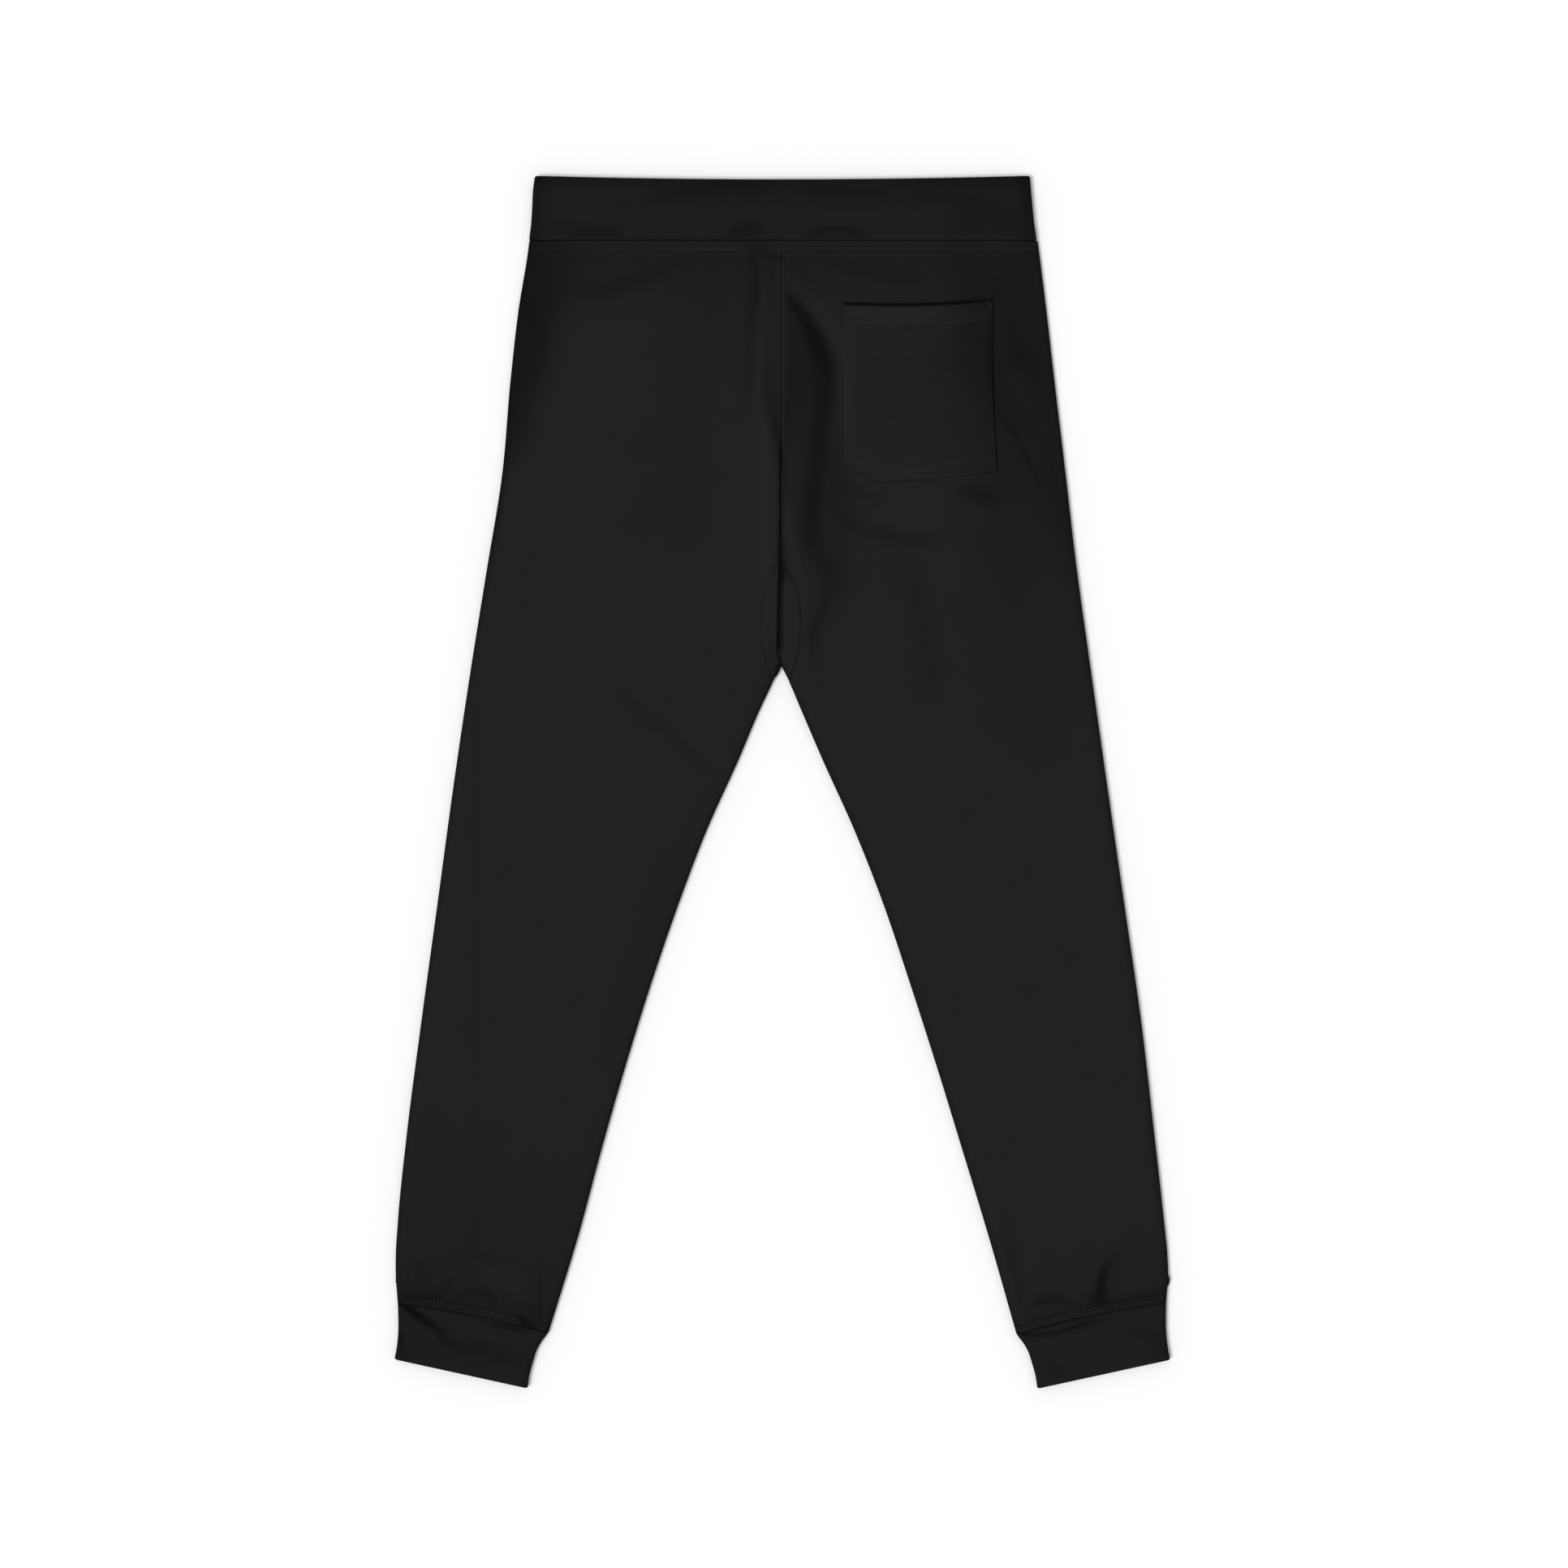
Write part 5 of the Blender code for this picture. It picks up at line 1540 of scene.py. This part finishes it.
def waistband(name, nodes):
    profile = wall_profile(BAND_LENGTH, BAND_WALL, BAND_FOLD, BAND_SEAM_FOLD, BAND_ROWS)
    x, y, z, _, _, shade = tube(
        profile, band_turn, BAND_HEIGHT, BAND_WALL, band_dented, BAND_SIDE_SHADE
    )
    amount, width = BAND_TOP_SHADE
    shade = shade + amount * near(BAND[-1].y - y, width)
    seam_width = np.where(x < SEAM_X, *BAND_SEAM_WIDTH[:2])
    shade = shade + SEAM_SHADE * near(y - BAND_SEAM_Y, seam_width)
    obj = cloth(name, x, y, z, along_grain(x, y, 0.0), shade, wrap=True)
    dress(obj, BAND_MATERIAL, nodes)


BAND_FINISH = Finish((0.0107, 0.0106, 0.0107), 1.0, 0.8, 0.07, 0.92, 0.16, 0.16)
BAND_MATERIAL = cloth_material("black jersey band", BAND_FINISH)
waistband("waistband_cloth", ["waistband"])

# ---- Cuffs ------------------------------------------------------------------------------------
# A ring of fine rib knit on each leg, doubled with its fold at the hem. The knit pulls in below
# the seam, and the leg's fleece bags a little over it.

CUFF_HEIGHT = 7.2
CUFF_WALL = 2.8
CUFF_FOLD = 1.3
CUFF_COLUMNS = 64
CUFF_ROWS = 34
Cuff = namedtuple("Cuff", "side seam_out seam_in hem_out hem_in")
CUFFS = [
    Cuff(-1, *CUFF_SEAM[-1], (-327.0, -486.6), (-214.6, -511.2)),
    Cuff(1, *CUFF_SEAM[1], (327.6, -487.0), (215.4, -511.4)),
]
# How far its sides are pulled in, from its seam, 0, to its hem, 1
Pull = namedtuple("Pull", "share outer inner")
CUFF_SHAPE = [
    Pull(0.0, 0.0, 0.0),
    Pull(0.05, 0.3, 0.6),
    Pull(0.17, 0.8, 2.5),
    Pull(0.32, 1.4, 3.8),
    Pull(0.55, 1.8, 3.4),
    Pull(0.8, 1.2, 2.2),
    Pull(1.0, 0.0, 0.0),
]
CUFF_TUCKS = [
    [  # left, the deep wedge from its outer corner
        Tuck(-321.5, -439.5, 2.6, 0.0, 0.8),
        Tuck(-315.0, -443.6, 3.8, -1.4, 1.25),
        Tuck(-308.5, -448.0, 4.2, -1.9, 1.4),
        Tuck(-299.3, -454.2, 4.7, -1.7, 1.1),
        Tuck(-290.6, -460.5, 4.0, -1.2, 0.55),
        Tuck(-281.0, -464.0, 4.5, -0.6, 0.2),
        Tuck(-272.0, -466.0, 5.0, 0.0, 0.0),
    ],
    [  # left, the wedge running out
        Tuck(-291.5, -460.5, 4.0, 0.0, 0.15),
        Tuck(-286.5, -468.0, 5.2, -0.8, 0.36),
        Tuck(-277.5, -474.0, 6.0, -1.0, 0.42),
        Tuck(-262.0, -477.0, 6.0, -0.9, 0.36),
        Tuck(-242.0, -475.5, 5.0, 0.0, 0.06),
    ],
    [  # left, dent in its outer edge
        Tuck(-324.0, -462.0, 3.0, 0.0, 0.1),
        Tuck(-321.5, -470.0, 4.2, -0.7, 0.50),
        Tuck(-318.0, -480.0, 4.6, -0.5, 0.34),
        Tuck(-316.0, -487.0, 3.6, 0.0, 0.0),
    ],
    [  # left, painted shade across the cuff
        Tuck(-318.0, -466.0, 26.0, 0.0, 0.08),
        Tuck(-250.0, -484.0, 30.0, 0.0, 0.07),
        Tuck(-222.0, -494.0, 24.0, 0.0, 0.04),
    ],
    [  # left, low dip
        Tuck(-258.0, -481.0, 7.0, 0.0, 0.0),
        Tuck(-236.0, -484.0, 9.0, -0.6, 0.14),
        Tuck(-221.0, -489.0, 7.0, 0.0, 0.05),
    ],
    [  # left, under the stitching
        Tuck(-252.0, -454.5, 2.2, 0.0, 0.1),
        Tuck(-242.0, -456.8, 3.0, -0.7, 0.52),
        Tuck(-231.0, -459.2, 3.4, -0.8, 0.62),
        Tuck(-220.0, -461.4, 3.2, -0.5, 0.48),
        Tuck(-210.0, -463.6, 2.0, 0.0, 0.1),
    ],
    [  # left, soft swell between the wedge and the seam
        Tuck(-288.0, -452.0, 3.0, 0.0, 0.0),
        Tuck(-272.0, -456.0, 4.5, 0.7, -0.05),
        Tuck(-250.0, -463.0, 5.0, 0.5, -0.02),
        Tuck(-238.0, -468.0, 4.0, 0.0, 0.0),
    ],
    [  # right, the furrow under its seam
        Tuck(202.0, -465.3, 2.0, 0.0, 0.5),
        Tuck(209.0, -465.6, 2.2, -0.8, 0.9),
        Tuck(222.0, -465.2, 2.5, -1.0, 0.50),
        Tuck(232.0, -463.3, 2.7, -1.0, 0.60),
        Tuck(242.5, -460.2, 2.9, -1.1, 0.75),
        Tuck(254.0, -456.5, 3.3, -1.0, 0.70),
        Tuck(263.0, -454.0, 3.3, -0.8, 0.52),
        Tuck(277.0, -451.0, 2.2, 0.0, 0.12),
    ],
    [  # right, the swell over that furrow
        Tuck(214.0, -462.0, 1.4, 0.0, 0.0),
        Tuck(226.0, -461.7, 1.8, 0.5, -0.16),
        Tuck(238.0, -459.2, 1.6, 0.4, -0.14),
        Tuck(246.0, -457.0, 1.4, 0.0, 0.0),
    ],
    [  # right, outer dip
        Tuck(290.0, -452.0, 7.0, 0.0, 0.0),
        Tuck(304.0, -462.0, 9.0, -0.6, 0.10),
        Tuck(315.0, -468.0, 10.0, -0.4, 0.18),
        Tuck(318.0, -481.0, 8.0, 0.0, 0.10),
    ],
    [  # right, low inner dip
        Tuck(228.0, -485.0, 7.0, 0.0, 0.0),
        Tuck(233.0, -495.0, 8.0, -0.5, 0.12),
        Tuck(239.0, -502.0, 6.0, 0.0, 0.0),
    ],
]
CUFF_SIDE_SHADE = (0.30, 6.0)  # painted shade at its sides, and over which width


def cuff_dented(x, y):
    return tucked(CUFF_TUCKS, x, y)


def cuff_cloth(name, shape, nodes):
    """One cuff; its hem's fold gets the same painted shade as the seam over it."""
    corners = (shape.seam_out, shape.seam_in, shape.hem_out, shape.hem_in)
    seam_out, seam_in, hem_out, hem_in = (np.array(corner) for corner in corners)
    length = float(np.hypot(*(hem_out - seam_out)))

    def turn(from_hem, depth):
        share = 1.0 - from_hem / length
        outer = mix(seam_out, hem_out, share)
        inner = mix(seam_in, hem_in, share)
        inward = (inner - outer) / np.hypot(*(inner - outer))
        outer = outer + inward * smooth(share, CUFF_SHAPE, "outer", by="share")
        inner = inner - inward * smooth(share, CUFF_SHAPE, "inner", by="share")
        ends = (outer, inner) if shape.side < 0 else (inner, outer)
        dip = -CUFF_BOW[shape.side] * (1.0 - share)
        return ring(*ends, CUFF_HEIGHT, depth, CUFF_COLUMNS, dip)

    profile = wall_profile(length, CUFF_WALL, CUFF_FOLD, CUFF_FOLD / 2, CUFF_ROWS)
    x, y, z, along, from_hem, shade = tube(
        profile, turn, CUFF_HEIGHT, CUFF_WALL, cuff_dented, CUFF_SIDE_SHADE
    )
    shade = shade + RIM_SHADE * near(length - from_hem, RIM_WIDTH)
    shade = shade + cuff_seam_shade(x) * near(from_hem, SEAM_SHADE_WIDTH)
    grain = np.stack([along, from_hem, 0.0 * along], axis=-1)
    obj = cloth(name, x, y, z, grain, shade, wrap=True)
    dress(obj, RIB_MATERIAL, nodes)


RIB_FINISH = Finish((0.0108, 0.0107, 0.0108), 1.5, 0.7, 0.12, 0.92, 0.12, 0.12)
RIB_MATERIAL = cloth_material("black rib knit", RIB_FINISH)
cuff_cloth("cuff_left_cloth", CUFFS[0], ["cuff_left"])
cuff_cloth("cuff_right_cloth", CUFFS[1], ["cuff_right"])

# ---- Stitching --------------------------------------------------------------------------------
# Black thread. Cover stitch holds down the waistband, seat, gusset, cuff and pocket-mouth seams:
# needle rows side by side, with threads laid across them. Single rows top-stitch the pocket.

THREAD = 0.27  # radius of the sewing thread
THREAD_SHADE_SHARE = 0.65  # how much of the cloth's painted shade is painted on the thread
STITCH_LENGTH = 2.7
COVER_PITCH = 2.4  # from one thread laid across to the next
# Five points of one lockstitch: shares of its length, and heights in thread radii
STITCH_AT = np.array([0.04, 0.25, 0.5, 0.75, 0.96])
STITCH_LIFT = np.array([-0.9, 0.45, 0.75, 0.45, -0.9])
# And of one thread laid from an outer needle row to the middle: shares of that half width, how
# far it slants in pitches, and heights in thread radii
LAID_ASIDE = np.array([1.0, 0.75, 0.5, 0.28, 0.1])
LAID_SLANT = np.array([0.22, 0.16, 0.1, 0.05, 0.0])
LAID_LIFT = np.array([0.2, 1.4, 1.7, 1.3, -0.9])


def length_along(path):
    steps = np.hypot(*np.diff(path, axis=0).T)
    return np.concatenate([[0.0], np.cumsum(steps)])


def walk(path, s, aside):
    """Places at distance s along a path in plan and aside to the left of it."""
    run = length_along(path)
    x = np.interp(s, run, path[:, 0])
    y = np.interp(s, run, path[:, 1])
    behind, ahead = (
        np.stack([np.interp(s + step, run, path[:, k]) for k in (0, 1)]) for step in (-0.5, 0.5)
    )
    way = (ahead - behind) / np.maximum(np.hypot(*(ahead - behind)), 1e-6)
    return x - way[1] * aside, y + way[0] * aside


def stitch_row(path, face, aside, pitch=STITCH_LENGTH, sunk=0.0):
    """Lockstitches end to end along a path, each arched over the cloth and sunk at its ends.

    Five points each: X, Y, Z and how thick the thread is.
    """
    count = int(length_along(path)[-1] / pitch)
    start = (np.arange(count) * pitch)[:, None]
    x, y = walk(path, start + pitch * STITCH_AT, aside)
    z = face(x, y) + THREAD * STITCH_LIFT - sunk
    return np.stack([x, y, z, 0.0 * x + 1.0], axis=-1)


def laid_across(path, face, half, pitch, bulk, sunk):
    """Threads laid from one outer needle row to the other, held down at the middle row."""
    count = int(length_along(path)[-1] / pitch)
    start = ((np.arange(count) + 0.5) * pitch)[:, None]
    loops = []
    for way in (-1.0, 1.0):
        aside = way * half * LAID_ASIDE + 0.0 * start
        x, y = walk(path, start + way * pitch * LAID_SLANT, aside)
        z = face(x, y) + THREAD * LAID_LIFT - sunk
        loops.append(np.stack([x, y, z, 0.0 * x + bulk], axis=-1))
    return np.concatenate(loops)


def cover_stitch(path, face, half=COVER_HALF, pitch=COVER_PITCH, bulk=1.0, sunk=0.0):
    """Two needle rows with threads laid across them; bulk is how thick those are."""
    runs = [stitch_row(path, face, aside, sunk=sunk) for aside in (-half, half)]
    return [*runs, laid_across(path, face, half, pitch, bulk, sunk)]


def sewn(name, runs, shade_at):
    """One mesh of round threads from arrays of five points each, with their cloth's painted shade.
    """
    curve = bpy.data.curves.new(name, "CURVE")
    curve.dimensions = "3D"
    curve.bevel_depth = THREAD * MM
    curve.bevel_resolution = 1
    curve.use_fill_caps = True
    for points in np.concatenate(runs):
        spline = curve.splines.new("POLY")
        spline.points.add(len(points) - 1)
        placed = np.concatenate([points[:, :3] * MM, np.ones((len(points), 1))], axis=1)
        spline.points.foreach_set("co", placed.ravel())
        spline.points.foreach_set("radius", points[:, 3])
    guide = in_scene(name + "_guide", curve)
    evaluated = guide.evaluated_get(bpy.context.evaluated_depsgraph_get())
    mesh = bpy.data.meshes.new_from_object(evaluated)
    bpy.data.objects.remove(guide)
    bpy.data.curves.remove(curve)
    bm = bmesh.new()
    bm.from_mesh(mesh)
    bmesh.ops.remove_doubles(bm, verts=bm.verts, dist=WELD)
    bm.to_mesh(mesh)
    bm.free()
    places = np.empty(3 * len(mesh.vertices))
    mesh.vertices.foreach_get("co", places)
    x, y, _ = places.reshape(-1, 3).T / MM
    # the cloth's painted shade, painted on the thread too
    painted_shading_layer = mesh.attributes.new("painted_shading", "FLOAT", "POINT")
    painted_shading_layer.data.foreach_set("value", np.exp(-THREAD_SHADE_SHARE * shade_at(x, y)))
    mesh.shade_smooth()
    mesh.name = name
    mesh.materials.clear()
    dress(in_scene(name, mesh), THREAD_MATERIAL, [])


THREAD_COLOUR = (0.0250, 0.0238, 0.0248, 1.0)
THREAD_PATCH = (0.50, 0.75)  # how much its lightness varies, and its least lightness
TWIST_DEPTH = 0.08


def make_thread_material():
    """Twisted polyester thread, a little lustrous, with its own faint variation and the cloth's
    painted shade.
    """
    material = bpy.data.materials.new("black sewing thread")
    material.use_nodes = True
    tree = material.node_tree
    shader = tree.nodes["Principled BSDF"]
    place = node(tree, "ShaderNodeTexCoord").outputs["Object"]
    nap = node(tree, "ShaderNodeGroup", {"Place": place}, node_tree=NAP)
    lightness = reckon(tree, "MULTIPLY_ADD", nap.outputs["Patch"], *THREAD_PATCH)
    # painted shade from the cloth under the thread
    painted_shading = node(tree, "ShaderNodeAttribute", attribute_name="painted_shading").outputs["Fac"]
    lightness = reckon(tree, "MULTIPLY", lightness, painted_shading)
    colour = node(tree, "ShaderNodeRGB")
    colour.outputs[0].default_value = THREAD_COLOUR
    tree.links.new(scaled(tree, colour.outputs[0], lightness), shader.inputs["Base Color"])
    twist_relief = {"Height": nap.outputs["Fibre"], "Distance": TWIST_DEPTH * MM}
    twist = node(tree, "ShaderNodeBump", twist_relief)
    tree.links.new(twist.outputs[0], shader.inputs["Normal"])
    shader.inputs["Roughness"].default_value = 0.7
    shader.inputs["Specular IOR Level"].default_value = 0.12
    return material


THREAD_MATERIAL = make_thread_material()


def left_face(x, y):
    return lie(x, y, -1)[0]


def right_face(x, y):
    return lie(x, y, 1)[0]


def back_face(x, y):
    return np.where(x < SEAM_X, left_face(x, y), right_face(x, y))


def back_shade(x, y):
    return np.where(x < SEAM_X, lie(x, y, -1)[1], lie(x, y, 1)[1])


LINE_POINTS = 60


def straight(x0, y0, x1, y1, bow=0.0, count=LINE_POINTS):
    """A line of stitching from one place to another, bowed at its middle."""
    t = np.linspace(0.0, 1.0, count)
    return np.stack([mix(x0, x1, t), mix(y0, y1, t) + bow * bowed(t)], axis=1)


# The waistband's runs, from each side to where they overlap at the centre back: X, Y, X, Y
BAND_RUNS = [
    (-212.6, BAND_STITCH_Y, 2.0, BAND_STITCH_Y - 0.6),
    (-6.0, BAND_STITCH_Y + 0.4, 215.0, BAND_STITCH_Y),
]
band_runs = []
for ends in BAND_RUNS:
    band_runs += cover_stitch(straight(*ends), back_face)
sewn("waistband_cover_stitch", band_runs, back_shade)

SEAT_STITCH_X = SEAM_X - 0.3
SEAT_STITCH_HALF = 2.3
seat_line = straight(SEAT_STITCH_X, SEAT_STITCH[1], SEAT_STITCH_X, SEAT_STITCH[0])
sewn("seat_cover_stitch", cover_stitch(seat_line, back_face, half=SEAT_STITCH_HALF), back_shade)

# The gusset's runs: side, the cloth each lies on, how far it lies from its seam, and its upper
# end. The left one's upper part is pulled into the roll.
GUSSET_RUNS = [(-1, left_face, 0.2, 119.0), (1, right_face, -0.8, 178.0)]
GUSSET_STITCH_END = 89.0
GUSSET_STITCH_HALF = 2.6
GUSSET_THREAD_SHADE = (0.25, 0.20)  # painted shade on its thread, and how much more above
GUSSET_THREAD_Y = (112.0, 126.0)  # where that painted shade grows, as the thread no longer lies flat


def gusset_thread_shade(x, y):
    base, more = GUSSET_THREAD_SHADE
    return back_shade(x, y) + base + more * between(y, GUSSET_THREAD_Y)


gusset_runs = []
for side, face, aside, top in GUSSET_RUNS:
    along = np.linspace(top, GUSSET_STITCH_END, LINE_POINTS)
    line = np.stack([gusset_x(side, along) + aside, along], axis=1)
    gusset_runs += cover_stitch(line, face, half=GUSSET_STITCH_HALF)
sewn("gusset_cover_stitch", gusset_runs, gusset_thread_shade)

CUFF_STITCH_HALF = 2.5
CUFF_STITCH_IN = 2.0  # from each end of the seam to the first and last stitch
CUFF_STITCH_PITCH = 2.7
CUFF_STITCH_BULK = 1.65  # the fluffy thread across the cuffs' seams, against a plain one
for shape, name in zip(CUFFS, ("cuff_left_cover_stitch", "cuff_right_cover_stitch")):
    start, end = np.array(shape.seam_out), np.array(shape.seam_in)
    way = (end - start) / np.hypot(*(end - start))
    upward = np.array([-way[1], way[0]]) * -shape.side
    first = start + way * CUFF_STITCH_IN + upward * CUFF_STITCH_UP
    last = end - way * CUFF_STITCH_IN + upward * CUFF_STITCH_UP
    path = straight(*first, *last, bow=CUFF_BOW[shape.side])
    face = left_face if shape.side < 0 else right_face
    runs = cover_stitch(path, face, CUFF_STITCH_HALF, CUFF_STITCH_PITCH, CUFF_STITCH_BULK)
    sewn(name, runs, back_shade)

PATCH_STITCH_IN = 1.9  # from the pocket's edge to its top stitching
PATCH_STITCH_SUNK = 0.3  # how far its thread has sunk into the nap
PATCH_STITCH_TOP = 0.985  # share of the pocket's height where it starts
HEM_STITCH_UP = 3.2  # from the hem's lower edge to the middle of its cover stitch
HEM_STITCH_HALF = 2.4
HEM_STITCH_SUNK = 0.2
HEM_STITCH_ENDS = (0.02, 0.985)  # shares of the pocket's width
HEM_SHARE = 0.88  # share of the pocket's height at which the hem ends
TACK_XS = (168.0, 171.4, 175.0, 178.0)  # the short tacks at its lower right corner
TACK_Y = (257.8, 261.6)
TACK_LEAN = 2.0
TACK_PITCH = 2.0
POCKET_THREAD_SHADE = (0.80, -0.35)  # painted shade on its threads, and how that changes
POCKET_THREAD_X = (118.0, 148.0)  # towards the right end of its hem


def pocket_thread_shade(x, y):
    base, change = POCKET_THREAD_SHADE
    return on_pocket(x, y)[1] + base + change * between(x, POCKET_THREAD_X)


def pocket_face(x, y):
    return on_pocket(x, y)[0]


v_line = np.linspace(PATCH_STITCH_TOP, 0.0, LINE_POINTS)
u_line = np.linspace(0.0, 1.0, 90)
left_x, left_y = pocket_plan(0.0 * v_line, v_line)
low_x, low_y = pocket_plan(u_line, 0.0 * u_line)
right_x, right_y = pocket_plan(0.0 * v_line + 1.0, v_line[::-1])
# The points nearest to the lower corners are left out, so that the row turns there
patch_edge = np.concatenate(
    [
        np.stack([left_x + PATCH_STITCH_IN, left_y], axis=1),
        np.stack([low_x, low_y + PATCH_STITCH_IN], axis=1)[4:-2],
        np.stack([right_x - PATCH_STITCH_IN, right_y], axis=1)[2:],
    ]
)
hem_u = np.linspace(*HEM_STITCH_ENDS, LINE_POINTS)
hem_x = mix(pocket_left(HEM_SHARE), pocket_right(HEM_SHARE), hem_u)
hem_line = np.stack([hem_x, pocket_top(hem_u) - POCKET_HEM + HEM_STITCH_UP], axis=1)
pocket_runs = [
    stitch_row(patch_edge, pocket_face, 0.0, sunk=PATCH_STITCH_SUNK),
    *cover_stitch(hem_line, pocket_face, half=HEM_STITCH_HALF, sunk=HEM_STITCH_SUNK),
]
for x in TACK_XS:
    tack = straight(x, TACK_Y[0], x + TACK_LEAN, TACK_Y[1], count=6)
    pocket_runs.append(stitch_row(tack, pocket_face, 0.0, pitch=TACK_PITCH))
sewn("pocket_stitching", pocket_runs, pocket_thread_shade)

# ---- Floor, light and camera ------------------------------------------------------------------
# A plain white floor under soft studio light that comes a little from the lower left, and a
# long lens straight above, with the waistband at the top.

FLOOR_HALF = 4.0  # in metres, as are the other sizes here
FLOOR_Z = -0.0002
floor_mesh = bpy.data.meshes.new("floor")
floor_bm = bmesh.new()
bmesh.ops.create_grid(floor_bm, x_segments=1, y_segments=1, size=FLOOR_HALF)
floor_bm.to_mesh(floor_mesh)
floor_bm.free()
floor = in_scene("floor", floor_mesh)
floor.location.z = FLOOR_Z
floor_material = bpy.data.materials.new("pale floor")
floor_material.use_nodes = True
floor_shader = floor_material.node_tree.nodes["Principled BSDF"]
floor_shader.inputs["Base Color"].default_value = (0.9, 0.9, 0.9, 1.0)
floor_shader.inputs["Roughness"].default_value = 1.0
floor_shader.inputs["Specular IOR Level"].default_value = 0.0
floor_mesh.materials.append(floor_material)

world = bpy.data.worlds.new("studio")
world.use_nodes = True
world.node_tree.nodes["Background"].inputs["Color"].default_value = (1.0, 1.0, 1.0, 1.0)
world.node_tree.nodes["Background"].inputs["Strength"].default_value = 0.58
bpy.context.scene.world = world

KEY_FROM = (-0.5, -0.3, 1.0)
KEY_SPREAD = math.radians(28.0)
sun = bpy.data.lights.new("key", "SUN")
sun.energy = 1.95
sun.angle = KEY_SPREAD
key_x, key_y, key_z = KEY_FROM
key_tilt = math.atan2(math.hypot(key_x, key_y), key_z)
in_scene("key", sun).rotation_euler = (0.0, key_tilt, math.atan2(key_y, key_x))

SEEN_WIDTH = 1.3234  # what the camera takes in at the height of the side seams
SEEN_CENTRE = (0.0017, -0.0014)
LENS = 90.0
SENSOR = 36.0
camera = bpy.data.cameras.new("camera")
camera.lens = LENS
camera.sensor_width = SENSOR
camera_object = in_scene("camera", camera)
camera_object.location = (*SEEN_CENTRE, SEEN_WIDTH * LENS / SENSOR + SIDE_SEAM_Z * MM)
bpy.context.scene.camera = camera_object
bpy.context.scene.view_settings.view_transform = "Standard"
